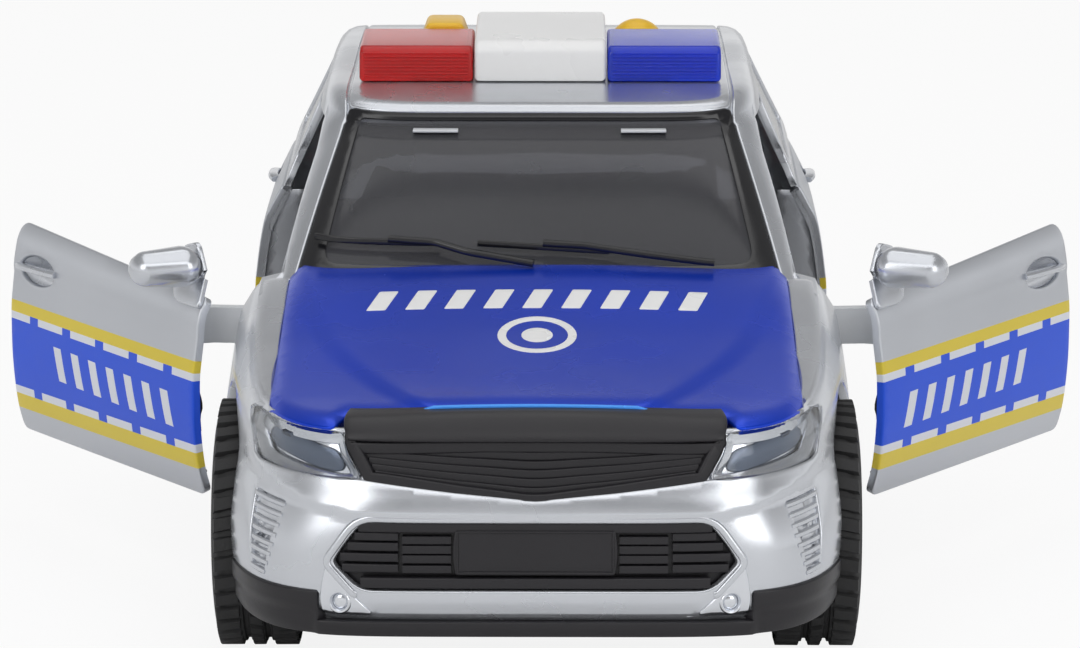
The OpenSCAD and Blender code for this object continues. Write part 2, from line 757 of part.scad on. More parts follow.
module skirt(arch_end) {
    low = sill_height - fit_gap;
    edge = skirt_step + fit_gap;
    first = step_angle(edge);
    last = skirt_angle(arch_end + run_gap);
    middle = step_angle(skirt_step - skirt_thick);
    step = step_angle(skirt_step);
    corner = [for (i = [0:skirt_columns]) [mix(first, last, i / skirt_columns), skirt_corner, edge]];
    centre = [for (i = [-skirt_columns:skirt_columns]) [middle * i / skirt_columns, low, 0]];
    other = [for (i = [skirt_columns:-1:0]) [-corner[i][0], skirt_corner, edge]];
    columns = concat(other, [[-step, low, skirt_step]], centre, [[step, low, skirt_step]], corner);
    slab(
        [for (v = [0, 1]) [for (c = columns) skirt_place(c[0], mix(skirt_foot, c[1], v), 0, c[2])]],
        [for (v = [0, 1]) [for (c = columns) skirt_place(c[0], mix(skirt_foot, c[1], v), skirt_thick, c[2])]]
    );
}

module front_skirt() {
    color("dimgray") skirt(arch_radius - front_axle_y);
}

module rear_skirt() {
    color("dimgray") rotate([0, 0, 180]) skirt(rear_axle_y + arch_radius);
}

// Glazing

glass_thick = 1.2;

module screen_patch(s, out, in, grow) {
    cabin_end_patch(screen_foot_share, screen_top_share, s < 0 ? screen_width_share : tail_width_share, s, out, in, grow);
}

module rear_side_window(out, in, grow) {
    cabin_side_patch(rear_window_front, rear_window_rear, window_foot_share, front_rail_share, out, in, grow);
}

module quarter_window(out, in, grow) {
    cabin_side_patch(quarter_front, quarter_rear, window_foot_share, front_rail_share, out, in, grow, columns = 3);
}

module side_windows() {
    rear_side_window(-fit_gap, -glass_thick, 0);
    quarter_window(-fit_gap, -glass_thick, 0);
}

module windscreen() { color("darkslategray") screen_patch(-1, -fit_gap, -glass_thick - fit_gap, 0); }
module rear_window() { color("darkslategray") screen_patch(1, -fit_gap, -glass_thick - fit_gap, 0); }
module side_windows_right() { color("darkslategray") side_windows(); }
module side_windows_left() { color("darkslategray") mirror([1, 0, 0]) side_windows(); }

// Wipers lying on the screen, each given by shares of the screen's width and height

wiper_radius = 0.7;
wiper_lift = 0.5;
wiper_left_shares = [[-0.95, 0.17], [-0.48, 0.15], [-0.02, 0.02]];
wiper_right_shares = [[-0.26, 0.16], [0.35, 0.1], [0.73, 0.02]];

function on_screen(p, lift) =
    let (g = mix(screen_foot_share, screen_top_share, p[1]))
    let (x = p[0] * screen_width_share * cabin_half(g))
    let (y = cabin_y(x, g, -1))
    [x, y - lift, cabin_z(y, g) + lift];

module wiper(shares) {
    lift = wiper_lift + wiper_radius;
    for (i = [0:len(shares) - 2]) hull() {
        translate(on_screen(shares[i], lift)) sphere(wiper_radius, $fn = 16);
        translate(on_screen(shares[i + 1], lift)) sphere(wiper_radius, $fn = 16);
    }
}

module wiper_left() { color("black") wiper(wiper_left_shares); }
module wiper_right() { color("black") wiper(wiper_right_shares); }

// Light bar: two hollow coloured lenses beside a white centre housing

bar_y = screen_top_y + bar_setback;
bar_foot = roof_height + fit_gap / 2;
bar_wall = 1.2;
lens_profile_shares = [[0, 0], [0.03, 0.86], [0.09, 1], [0.94, 1], [1, 0.86], [1, 0]];
centre_profile_shares = [[0, 0], [0.01, 0.74], [0.07, 0.92], [0.85, 1], [0.97, 0.86], [1, 0]];

module profile(shares, depth, height, inset) {
    scale_y = (depth - 2 * inset) / depth;
    scale_z = (height - inset) / height;
    polygon([for (p = shares) [inset + p[0] * depth * scale_y, p[1] * height * scale_z]]);
}

module hollow_bar(shares, depth, height, start, end) {
    translate([0, bar_y, bar_foot]) difference() {
        along_x(start, end - start) profile(shares, depth, height, 0);
        translate([0, 0, -fit_gap]) along_x(start + bar_wall, end - start - 2 * bar_wall)
            profile(shares, depth, height, bar_wall);
    }
}

module lens_red() {
    color("red") hollow_bar(lens_profile_shares, lens_depth, lens_height, -bar_half, -bar_centre_half - fit_gap);
}

module lens_blue() {
    color("blue") hollow_bar(lens_profile_shares, lens_depth, lens_height, bar_centre_half + fit_gap, bar_half);
}

module lightbar_centre() {
    color("white") hollow_bar(centre_profile_shares, centre_depth, centre_height, -bar_centre_half, bar_centre_half);
}

// Push buttons behind the lenses, each on a stem through the roof

board_drop = 7;
board_top = roof_height - wall - board_drop;
switch_height = 2.6;
switch_top = board_top + switch_height;
stem_radius = 2.4;
collar_radius = 3.6;
collar_height = 1.2;
button_x = bar_centre_half + button_width / 2 + 2 * run_gap;
button_depth = 11;
button_y = bar_y + lens_depth + button_depth / 2 + 2 * run_gap;
button_foot = roof_height + button_travel + run_gap;
button_rise = roof_height + button_height - button_foot;
stem_foot = switch_top + button_travel + fit_gap;

module button_stem() {
    translate([0, 0, stem_foot]) cylinder(h = button_foot - stem_foot, r = stem_radius, $fn = 32);
    translate([0, 0, roof_height - wall - run_gap - collar_height])
        cylinder(h = collar_height, r = collar_radius, $fn = 32);
}

module button_left() {
    top_share = 0.62;
    color("gold") translate([-button_x, button_y, 0]) {
        button_stem();
        translate([0, button_depth / 2, button_foot]) rotate([90, 0, 0]) linear_extrude(button_depth) polygon([
            [-button_width / 2, 0], [-button_width * top_share / 2, button_rise],
            [button_width * top_share / 2, button_rise], [button_width / 2, 0]
        ]);
    }
}

module button_right() {
    dome = (pow(button_width / 2, 2) + pow(button_rise, 2)) / (2 * button_rise);
    color("gold") translate([button_x, button_y, 0]) {
        button_stem();
        translate([0, 0, button_foot]) intersection() {
            translate([0, 0, button_rise - dome]) sphere(dome, $fn = 48);
            cylinder(h = button_rise + overrun, r = button_width / 2, $fn = 48);
        }
    }
}

// Roof unit: circuit board with switches, two lamps and a cover

board_half_x = 30;
board_length = 40;
board_setback = 3;
board_front = bar_y + board_setback;
switch_size = 6;
bulb_radius = 1.5;
bulb_height = 10.5;
lamp_bulb_x = (bar_centre_half + bar_half) / 2;
lamp_bulb_y = bar_y + lens_depth / 2;
board_post_x = post_radius + 2 * fit_gap;
board_post_y = board_front + board_length / 2;
cover_wall = 1;
cover_floor = 3;

module circuit_board() {
    color("seagreen") {
        translate([-board_half_x, board_front, board_top - board_thick])
            cube([2 * board_half_x, board_length, board_thick]);
        for (s = [-1, 1]) translate([s * button_x - switch_size / 2, button_y - switch_size / 2, board_top])
            cube([switch_size, switch_size, switch_height]);
    }
}

module roof_lamps() {
    color("white") right_and_left() translate([lamp_bulb_x, lamp_bulb_y, board_top]) {
        cylinder(h = bulb_height - bulb_radius, r = bulb_radius, $fn = 32);
        translate([0, 0, bulb_height - bulb_radius]) sphere(bulb_radius, $fn = 32);
    }
}

module roof_unit_cover() {
    half_x = board_half_x + fit_gap + cover_wall;
    length = board_length + 2 * (fit_gap + cover_wall);
    foot = board_top - board_thick - cover_floor;
    color("dimgray") translate([-half_x, board_front - fit_gap - cover_wall, foot]) difference() {
        cube([2 * half_x, length, roof_height - wall - fit_gap - roof_round - foot]);
        translate([cover_wall, cover_wall, cover_floor])
            cube([2 * (half_x - cover_wall), length - 2 * cover_wall, roof_height]);
    }
}

// Friction drive: the axle gear turns an idler pair, which turns the flywheel

drive_teeth = 22;
pinion_teeth = 12;
idler_teeth = 26;
pressure_angle = 20;
flank_shares = [0, 0.3, 0.55, 0.8, 1];
tip_share = 0.8;
root_share = 1.15;
tooth_play_share = 0.2;
gear_line = 143.13;
gear_x = -9;
idler_x = -3.5;
flywheel_x = 2;
frame_thick = 1.5;
frame_edge = 3;
drive_pitch = pitch_radius(drive_teeth);
drive_tip = drive_pitch + tip_share * tooth_module;
first_centres = drive_pitch + pitch_radius(pinion_teeth);
second_centres = pitch_radius(idler_teeth) + pitch_radius(pinion_teeth);
gear_way = [cos(gear_line), sin(gear_line)];
idler_place = [rear_axle_y, axle_z] + first_centres * gear_way;
flywheel_place = idler_place + second_centres * gear_way;
gearbox_front = flywheel_place[0] - frame_edge - shaft_radius;
gearbox_rear = rear_axle_y + drive_tip + frame_edge + shaft_radius;

function pitch_radius(teeth) = teeth * tooth_module / 2;
function involute(radius, base) =
    radius <= base ? 0 : let (a = acos(base / radius)) tan(a) * 180 / PI - a;
function tooth_flank(teeth, radius) =
    let (pitch = pitch_radius(teeth))
    let (base = pitch * cos(pressure_angle))
    let (play = tooth_play_share * tooth_module / pitch * 90 / PI)
    90 / teeth - play + involute(pitch, base) - involute(radius, base);

// Outline of a toothed wheel with one tooth pointing along the first axis
module teeth_outline(teeth) {
    pitch = pitch_radius(teeth);
    root = pitch - root_share * tooth_module;
    tip = pitch + tip_share * tooth_module;
    radii = [for (s = flank_shares) mix(root, tip, s)];
    polygon([for (i = [0:teeth - 1])
        each concat(
            [for (r = radii) let (a = 360 * i / teeth - tooth_flank(teeth, r)) r * [cos(a), sin(a)]],
            [for (j = [len(radii) - 1:-1:0])
                let (r = radii[j], a = 360 * i / teeth + tooth_flank(teeth, r)) r * [cos(a), sin(a)]]
        )]);
}

module drive_gear() {
    color("white") translate([0, rear_axle_y, axle_z]) along_x(gear_x, gear_width) difference() {
        rotate(gear_line) teeth_outline(drive_teeth);
        circle(axle_radius, $fn = 48);
    }
}

module idler_gear() {
    color("ivory") translate([0, idler_place[0], idler_place[1]]) {
        along_x(gear_x, gear_width) rotate(gear_line + 180 + 180 / pinion_teeth) teeth_outline(pinion_teeth);
        along_x(idler_x, gear_width) rotate(gear_line) teeth_outline(idler_teeth);
        rod_x(-gearbox_inside / 2 - frame_thick, gearbox_inside + 2 * frame_thick, shaft_radius);
        rod_x(gear_x + gear_width, idler_x - gear_x - gear_width, pitch_radius(pinion_teeth) / 2);
    }
}

module flywheel() {
    color("gray") translate([0, flywheel_place[0], flywheel_place[1]]) {
        along_x(idler_x, gear_width) rotate(gear_line + 180 + 180 / pinion_teeth) teeth_outline(pinion_teeth);
        rod_x(flywheel_x, flywheel_width, flywheel_radius);
        rod_x(-gearbox_inside / 2 - frame_thick, gearbox_inside + 2 * frame_thick, shaft_radius);
    }
}

// Two plates with the bearings of the drive, tied together by spacer rods
module gearbox_plate() {
    top = flywheel_place[1] + frame_edge;
    difference() {
        polygon([
            [gearbox_front, floor_top], [gearbox_rear, floor_top], [gearbox_rear, axle_z + frame_edge],
            [flywheel_place[0] + frame_edge, top], [gearbox_front, top]
        ]);
        translate([rear_axle_y, axle_z]) circle(axle_radius + shaft_play, $fn = 48);
        translate(idler_place) circle(shaft_radius + shaft_play, $fn = 48);
        translate(flywheel_place) circle(shaft_radius + shaft_play, $fn = 48);
    }
}

module gearbox_frame() {
    rod_z = floor_top + 2 * shaft_radius;
    color("dimgray") {
        along_x(-gearbox_inside / 2 - frame_thick, frame_thick) gearbox_plate();
        along_x(gearbox_inside / 2, frame_thick) gearbox_plate();
        for (y = [gearbox_front + 2 * shaft_radius, gearbox_rear - 2 * shaft_radius]) translate([0, y, rod_z])
            rod_x(-gearbox_inside / 2, gearbox_inside, shaft_radius);
    }
}

// Chassis: floor with wheel gaps, axle bearings, battery bay, posts for the tub and screw bosses

floor_top = floor_height + floor_thick;
floor_boss_rise = 2;
floor_boss_top = floor_top + floor_boss_rise;
floor_side_gap = 3;
floor_half = tyre_inner - floor_side_gap;
floor_wide_half = body_half(0) - 2 * fit_gap;
bearing_half = 4.5;
bearing_width = 5;
bearing_x = floor_half - bearing_width;
bearing_cap = 3.6;
bearing_top = axle_z + bearing_cap;
bay_half_x = cell_length / 2 + 2 * fit_gap;
bay_wall = 1.4;
bay_setback = 20;
bay_front = door_front_y + bay_setback;
bay_pitch = 2 * cell_radius + 2 * fit_gap;
bay_length = 2 * bay_pitch + 2 * fit_gap;
bay_height = 9;
tub_post_x = 32;
tub_post_radius = 3;
tub_lead = 2;
tub_front = cowl_y - tub_lead;
tub_step_setback = 12;
tub_step_y = door_rear_y + tub_step_setback;
tub_rear = tail_top_y;
sound_hole_radius = 1.1;
speaker_y = (bay_front + bay_length + gearbox_front) / 2;
gear_slot_margin = 1;

module floor_outline() {
    front = -half_length + 4 * skirt_thick;
    rear = half_length - 4 * skirt_thick;
    translate([-floor_half, front]) square([2 * floor_half, rear - front]);
    translate([-floor_wide_half, front_axle_y + arch_radius])
        square([2 * floor_wide_half, wheelbase - 2 * arch_radius]);
}

module bearing(x, y) {
    translate([x, y, 0]) difference() {
        translate([-bearing_width / 2, -bearing_half, floor_top])
            cube([bearing_width, 2 * bearing_half, bearing_top - floor_top]);
        translate([0, 0, axle_z]) rod_x(-bearing_width, 2 * bearing_width, axle_radius + shaft_play);
    }
}

module screw_places() {
    right_and_left() {
        translate([screw_x, screw_y, 0]) children();
        translate([screw_x, rear_screw_y, 0]) children();
    }
}

module chassis() {
    bay_outer_x = bay_half_x + bay_wall;
    color("dimgray") difference() {
        union() {
            translate([0, 0, floor_height]) linear_extrude(floor_thick) floor_outline();
            for (s = [-1, 1]) for (y = [front_axle_y, rear_axle_y]) bearing(s * bearing_x, y);
            screw_places() translate([0, 0, floor_height])
                cylinder(h = floor_boss_top - floor_height, r = head_radius + floor_thick, $fn = 32);
            right_and_left() {
                translate([tub_post_x, tub_front + 2 * tub_post_radius, floor_height])
                    cylinder(h = tub_height - tub_thick - floor_height, r = tub_post_radius, $fn = 32);
                translate([tub_post_x, tub_step_y - 2 * tub_post_radius, floor_height])
                    cylinder(h = tub_height - tub_thick - floor_height, r = tub_post_radius, $fn = 32);
            }
            translate([-bay_outer_x, bay_front - bay_wall, floor_height])
                cube([2 * bay_outer_x, bay_length + 2 * bay_wall, bay_height]);
        }
        translate([-bay_half_x, bay_front, 0]) cube([2 * bay_half_x, bay_length, axle_z + tub_height]);
        screw_places() {
            cylinder(h = floor_height + head_height, r = head_radius + fit_gap, $fn = 32);
            cylinder(h = axle_z, r = screw_radius + fit_gap, $fn = 32);
        }
        translate([gear_x - gear_slot_margin, rear_axle_y - drive_tip - gear_slot_margin, 0])
            cube([gear_width + 2 * gear_slot_margin, 2 * (drive_tip + gear_slot_margin), floor_top + fit_gap]);
        for (a = [0:60:300]) translate([0, speaker_y, 0]) rotate(a) translate([speaker_radius / 2, 0, 0])
            cylinder(h = axle_z, r = sound_hole_radius, $fn = 24);
        translate([0, speaker_y, 0]) cylinder(h = axle_z, r = sound_hole_radius, $fn = 24);
    }
}

// Screws through the chassis into the body posts in front and into the tub behind

head_radius = 2.6;
head_height = 1.6;
screw_length = 9;

module screws() {
    color("gray") screw_places() {
        translate([0, 0, floor_height]) cylinder(h = head_height, r = head_radius, $fn = 32);
        translate([0, 0, floor_height]) cylinder(h = head_height + screw_length, r = screw_radius, $fn = 32);
    }
}

// Batteries and speaker

cell_z = floor_top + fit_gap + cell_radius;

module battery_cells() {
    color("goldenrod") for (i = [0, 1])
        translate([0, bay_front + 2 * fit_gap + cell_radius + i * bay_pitch, cell_z])
            rod_x(-cell_length / 2, cell_length, cell_radius);
}

module battery_cover() {
    color("dimgray") translate([-bay_half_x + fit_gap, bay_front + fit_gap, floor_height])
        cube([2 * (bay_half_x - fit_gap), bay_length - 2 * fit_gap, floor_thick]);
}

speaker_thick = 5;
speaker_magnet_share = 0.5;

module speaker() {
    color("gray") translate([0, speaker_y, floor_top]) {
        cylinder(h = speaker_thick / 2, r = speaker_radius, $fn = 48);
        cylinder(h = speaker_thick, r = speaker_radius * speaker_magnet_share, $fn = 48);
    }
}

// Interior: tub, dashboard, seats and steering wheel

tub_half = 44;
boss_half = 4;

module interior_tub() {
    low = tub_height - tub_thick;
    high = tub_rear_height - tub_thick;
    color("darkgray") {
        along_x(-tub_half, 2 * tub_half) polygon([
            [tub_front, low], [tub_step_y + tub_thick, low], [tub_step_y + tub_thick, high],
            [tub_rear, high], [tub_rear, tub_rear_height], [tub_step_y, tub_rear_height],
            [tub_step_y, tub_height], [tub_front, tub_height]
        ]);
        right_and_left() translate([screw_x, rear_screw_y, floor_boss_top]) difference() {
            cylinder(h = high - floor_boss_top, r = boss_half, $fn = 32);
            cylinder(h = screw_length, r = screw_radius + fit_gap, $fn = 32);
        }
    }
}

dash_half = 36;
dash_depth = 21;
dash_wall = 3;
dash_rise = cowl_height - tub_height - 2 * wall;
dash_profile_shares = [[0.33, 0.36], [0.92, 0.42], [1, 0.66], [0.85, 0.93], [0.33, 1.05], [0, 0.92]];

module dashboard() {
    color("dimgray") difference() {
        along_x(-dash_half, 2 * dash_half) polygon(concat(
            [[tub_front, tub_height], [tub_front + dash_wall, tub_height],
             [tub_front + dash_wall, tub_height + dash_profile_shares[0][1] * dash_rise]],
            [for (p = dash_profile_shares) [tub_front + p[0] * dash_depth, tub_height + p[1] * dash_rise]]
        ));
        on_column() cylinder(h = column_length, r = column_radius, $fn = 32);
    }
}

seat_x = 20;
seat_setback = 32;
seat_front = door_front_y + seat_setback;
seat_depth = 30;
seat_profile_shares = [[0, 0], [0, 0.17], [0.06, 0.22], [0.62, 0.2], [0.78, 0.76], [0.82, 0.79], [0.84, 0.98],
    [0.9, 1], [0.98, 0.98], [0.96, 0.79], [1, 0.75], [0.88, 0]];

module seat(front, depth, width, height, foot) {
    translate([0, 0, foot]) along_x(-width / 2, width)
        polygon([for (p = seat_profile_shares) [front + p[0] * depth, p[1] * height]]);
}

module front_seats() {
    color("dimgray") right_and_left() translate([seat_x, 0, 0])
        seat(seat_front, seat_depth, seat_width, seat_height, tub_height);
}

bench_setback = 5;
bench_front = tub_step_y + bench_setback;
bench_depth = 30;
bench_half = 34;
bench_height = 24;

module rear_bench() {
    color("dimgray") seat(bench_front, bench_depth, 2 * bench_half, bench_height, tub_rear_height);
}

steer_tilt = 115;
steer_rim = 1.1;
steer_drop = 5.5;
steer_z = cowl_height - steer_drop;
steer_gap = 5;
steer_y = tub_front + dash_depth + steer_gap;
column_radius = 1.6;
column_length = 8;

// A child drawn along the steering column, from the wheel towards the dashboard
module on_column() {
    translate([seat_x, steer_y, steer_z]) rotate([steer_tilt, 0, 0]) children();
}

module steering_wheel() {
    color("black") on_column() {
        rotate_extrude($fn = 48) translate([steer_radius - steer_rim, 0]) circle(steer_rim, $fn = 20);
        cylinder(h = 2 * steer_rim, r = 2 * column_radius, center = true, $fn = 32);
        for (a = [0, 120, 240]) rotate(90 + a) translate([0, -steer_rim, -steer_rim / 2])
            cube([steer_radius - steer_rim, 2 * steer_rim, steer_rim]);
        cylinder(h = column_length, r = column_radius, $fn = 32);
    }
}

// Doors: skin, inner card, goose neck arm, mirror. All drawn on the closed right-hand door

door_foot_share = 0.006;
card_foot_share = 0.08;
card_edge = 3;
knuckle_radius = 2.2;
knuckle_foot = 38.6;
knuckle_height = 6.2;
arm_lap = 1.8;
arm_foot = knuckle_foot + knuckle_height - arm_lap;
card_drop = 4.2;
card_top_share = level(0, arm_foot - card_drop);
arm_reach = 7.6;
arm_shares = [[0, 0], [-0.66, 0.3], [-1, 0.73], [-0.82, 1.15], [-0.26, 1.42]];
arm_end_lead = 19.5;
arm_pad = 7;

module door_skin() {
    side_patch(door_front_y, door_rear_y, door_foot_share, door_top_share, 0, -door_wall);
}

module door_card() {
    side_patch(door_front_y + card_edge, door_rear_y - card_edge, card_foot_share, card_top_share,
        -door_wall - fit_gap, -door_wall - card_thick, 0, 6, 6);
}

// Flat bar along a line of points, seen from above
module bar(path, width) {
    for (p = path) translate(p) circle(width / 2, $fn = 24);
    for (i = [0:len(path) - 2]) {
        step = path[i + 1] - path[i];
        translate(path[i]) rotate(atan2(step[1], step[0])) translate([0, -width / 2]) square([norm(step), width]);
    }
}

// Arm that leads from the pin round the edge of the wing to the inner face of the door
module hinge_arm() {
    end_y = hinge_y + arm_end_lead;
    end_x = side_x(end_y, arm_foot + arm_height) - door_wall - arm_thick / 2 - fit_gap;
    bends = [for (p = arm_shares) [hinge_offset + p[0] * arm_reach, hinge_y + p[1] * hinge_lead]];
    difference() {
        union() {
            translate([0, 0, arm_foot]) linear_extrude(arm_height) {
                bar([for (i = [1:len(bends) - 1]) bends[i]], arm_thick);
                bar([bends[len(bends) - 1], [end_x, end_y]], arm_thick);
                translate([end_x - arm_thick / 2, end_y - arm_thick / 2]) square([arm_thick, arm_pad]);
            }
            translate([0, 0, knuckle_foot]) linear_extrude(knuckle_height) {
                bar([bends[0], bends[1]], arm_thick);
                translate(bends[0]) circle(knuckle_radius, $fn = 32);
            }
        }
        translate([hinge_offset, hinge_y, knuckle_foot - overrun])
            cylinder(h = arm_foot + arm_height, r = pin_radius + shaft_play, $fn = 32);
    }
}

mirror_in_x = 53.5;
mirror_out_x = 59.6;
mirror_setback = 4;
mirror_sweep = 1.5;
mirror_in_y = door_front_y + mirror_setback;
mirror_out_y = mirror_in_y + mirror_sweep;
mirror_z = 57.6;
mirror_in_radius = 3.7;
mirror_out_radius = 3.2;
mirror_foot_radius = 1.5;
mirror_glass_thick = 0.8;

module mirror_pod() {
    hull() {
        translate([mirror_in_x, mirror_in_y, mirror_z]) sphere(mirror_in_radius, $fn = 24);
        translate([mirror_out_x, mirror_out_y, mirror_z]) sphere(mirror_out_radius, $fn = 24);
    }
}

mirror_face = 2.2;
mirror_face_y = mirror_in_y + mirror_face;
mirror_face_share = 0.75;

module mirror_shell() {
    foot_y = mirror_in_y - mirror_foot_radius;
    foot_z = level_z(foot_y, door_top_share) + fit_gap;
    foot_x = side_x(foot_y, foot_z) - door_wall / 2;
    difference() {
        union() {
            mirror_pod();
            hull() {
                translate([foot_x, foot_y, foot_z]) cylinder(h = mirror_foot_radius, r = mirror_foot_radius, $fn = 24);
                translate([mirror_in_x, mirror_in_y, mirror_z]) sphere(mirror_in_radius / 2, $fn = 24);
            }
        }
        translate([0, mirror_face_y, 0]) cube([body_width, body_width, roof_height]);
    }
}

module mirror_glass() {
    translate([0, mirror_face_y + fit_gap / 2, 0]) hull() {
        translate([mirror_in_x, 0, mirror_z]) rotate([-90, 0, 0])
            cylinder(h = mirror_glass_thick, r = mirror_in_radius * mirror_face_share, $fn = 32);
        translate([mirror_out_x, 0, mirror_z]) rotate([-90, 0, 0])
            cylinder(h = mirror_glass_thick, r = mirror_out_radius * mirror_face_share, $fn = 32);
    }
}

module door_panel_right() { color("silver") on_right_door() door_skin(); }
module door_panel_left() { color("silver") on_left_door() door_skin(); }
module door_card_right() { color("dimgray") on_right_door() door_card(); }
module door_card_left() { color("dimgray") on_left_door() door_card(); }
module hinge_arm_right() { color("gainsboro") on_right_door() hinge_arm(); }
module hinge_arm_left() { color("gainsboro") on_left_door() hinge_arm(); }
module mirror_shell_right() { color("silver") on_right_door() mirror_shell(); }
module mirror_shell_left() { color("silver") on_left_door() mirror_shell(); }
module mirror_glass_right() { color("lightblue") on_right_door() mirror_glass(); }
module mirror_glass_left() { color("lightblue") on_left_door() mirror_glass(); }

// Brackets that carry the hinge pins, standing on the floor behind the front wheels

bracket_width = 4.6;
bracket_depth = 4;
bracket_back = 7;
shelf_thick = 2.6;

module hinge_bracket() {
    top = knuckle_foot - fit_gap;
    back_y = hinge_y + bracket_back;
    translate([hinge_offset - bracket_width / 2, back_y - bracket_depth, floor_top])
        cube([bracket_width, bracket_depth, top - floor_top]);
    translate([hinge_offset - bracket_width / 2, hinge_y, top - shelf_thick])
        cube([bracket_width, bracket_back - bracket_depth / 2, shelf_thick]);
    translate([hinge_offset, hinge_y, top - shelf_thick])
        cylinder(h = shelf_thick, r = bracket_width / 2, $fn = 32);
    translate([hinge_offset, hinge_y, top - shelf_thick])
        cylinder(h = shelf_thick + fit_gap + knuckle_height, r = pin_radius, $fn = 32);
}

module hinge_brackets() {
    color("gainsboro") right_and_left() hinge_bracket();
}

// Axles, hubs and tyres

hub_recess = 2;
hub_boss = 3.4;
hub_spokes = 5;
hub_rim = 2;
hub_disc_share = 0.5;
axle_half = half_width - hub_recess - hub_boss;
tread_depth = 1.2;
tread_round = 2.4;

module axle(y) {
    color("gray") translate([0, y, axle_z]) rod_x(-axle_half, 2 * axle_half, axle_radius);
}

module front_axle() { axle(front_axle_y); }
module rear_axle() { axle(rear_axle_y); }

// Tyre on the right-hand side, with three grooves round the tread
module tyre(y) {
    groove = tyre_width / 12;
    translate([tyre_inner, y, axle_z]) rotate([0, 90, 0]) rotate_extrude($fn = 96) difference() {
        polygon([
            [hub_radius, 0], [tyre_radius - tread_round, 0], [tyre_radius, tread_round],
            [tyre_radius, tyre_width - tread_round], [tyre_radius - tread_round, tyre_width], [hub_radius, tyre_width]
        ]);
        for (i = [1:3]) translate([tyre_radius - tread_depth, i * tyre_width / 4 - groove / 2])
            square([2 * tread_depth, groove]);
    }
}

module hub(y) {
    depth = tyre_width - 2 * hub_recess;
    window = (hub_radius - hub_rim - hub_boss - hub_recess / 2) / 2;
    translate([tyre_inner + hub_recess, y, axle_z]) rotate([0, 90, 0]) difference() {
        union() {
            difference() {
                cylinder(h = depth, r = hub_radius, $fn = 64);
                translate([0, 0, depth * hub_disc_share])
                    cylinder(h = depth, r = hub_radius - hub_rim, $fn = 64);
            }
            cylinder(h = depth - hub_recess / 2, r = hub_boss, $fn = 32);
        }
        for (i = [0:hub_spokes - 1]) rotate(i * 360 / hub_spokes) translate([(hub_radius - hub_rim + hub_boss) / 2, 0, -depth])
            cylinder(h = 3 * depth, r = window, $fn = 32);
        translate([0, 0, -depth]) cylinder(h = depth + axle_half - tyre_inner - hub_recess, r = axle_radius, $fn = 48);
    }
}

module tyre_front_right() { color("black") tyre(front_axle_y); }
module tyre_front_left() { color("black") mirror([1, 0, 0]) tyre(front_axle_y); }
module tyre_rear_right() { color("black") tyre(rear_axle_y); }
module tyre_rear_left() { color("black") mirror([1, 0, 0]) tyre(rear_axle_y); }
module front_hubs() { color("lightgray") right_and_left() hub(front_axle_y); }
module rear_hubs() { color("lightgray") right_and_left() hub(rear_axle_y); }

body_shell();
bonnet();
upper_grille();
lower_grille();
headlamp_lens_left();
headlamp_lens_right();
headlamp_reflector_left();
headlamp_reflector_right();
fog_lamps();
tail_lamps();
front_skirt();
rear_skirt();
windscreen();
rear_window();
side_windows_left();
side_windows_right();
wiper_left();
wiper_right();
lens_red();
lens_blue();
lightbar_centre();
button_left();
button_right();
circuit_board();
roof_lamps();
roof_unit_cover();
chassis();
screws();
battery_cells();
battery_cover();
speaker();
interior_tub();
dashboard();
front_seats();
rear_bench();
steering_wheel();
hinge_brackets();
door_panel_left();
door_card_left();
hinge_arm_left();
mirror_shell_left();
mirror_glass_left();
door_panel_right();
door_card_right();
hinge_arm_right();
mirror_shell_right();
mirror_glass_right();
front_axle();
front_hubs();
tyre_front_left();
tyre_front_right();
rear_axle();
rear_hubs();
tyre_rear_left();
tyre_rear_right();
drive_gear();
idler_gear();
flywheel();
gearbox_frame();
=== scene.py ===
# %% [markdown]
# # A toy police car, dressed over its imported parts
#
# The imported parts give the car's frame: every piece, in metres, at its true place. This lesson puts the
# looks over them. Lengths below are written in millimetres, because a toy is thought of that way, and
# turned into metres in one place only. The nose points to -Y, +X is on the right seen from the front, and
# +Z is up.

# %% Load the frame
import json
import math
from contextlib import contextmanager

import bmesh
import bpy
import numpy as np
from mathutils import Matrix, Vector, geometry, kdtree

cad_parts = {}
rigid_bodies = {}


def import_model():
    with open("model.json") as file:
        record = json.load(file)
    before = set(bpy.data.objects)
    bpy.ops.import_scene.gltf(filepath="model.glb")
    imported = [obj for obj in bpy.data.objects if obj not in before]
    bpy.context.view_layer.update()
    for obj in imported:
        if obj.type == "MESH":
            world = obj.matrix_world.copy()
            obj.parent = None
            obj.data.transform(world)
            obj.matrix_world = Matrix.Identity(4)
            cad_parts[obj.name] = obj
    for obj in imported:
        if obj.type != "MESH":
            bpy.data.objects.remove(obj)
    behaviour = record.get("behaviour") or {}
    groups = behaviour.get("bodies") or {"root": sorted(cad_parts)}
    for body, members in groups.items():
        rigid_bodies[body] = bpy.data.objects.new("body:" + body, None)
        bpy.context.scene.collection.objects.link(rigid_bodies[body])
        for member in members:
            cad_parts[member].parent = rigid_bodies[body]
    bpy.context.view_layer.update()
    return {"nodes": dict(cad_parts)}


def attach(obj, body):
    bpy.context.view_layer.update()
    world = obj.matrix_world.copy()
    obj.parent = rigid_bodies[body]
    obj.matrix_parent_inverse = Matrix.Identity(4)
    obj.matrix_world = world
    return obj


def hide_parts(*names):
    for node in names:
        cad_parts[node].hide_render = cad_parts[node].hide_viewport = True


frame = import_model()
MM = 0.001
SIDES = ((1, "right"), (-1, "left"))


def in_scene(name, data):
    item = bpy.data.objects.new(name, data)
    bpy.context.scene.collection.objects.link(item)
    return item


# %% [markdown]
# ## The camera
#
# The car is seen from the front, from a little above and far away, so that it looks almost flat. A long
# lens does that. The numbers come from comparing known points of the car with where they lie in a picture
# of 1080 by 648.

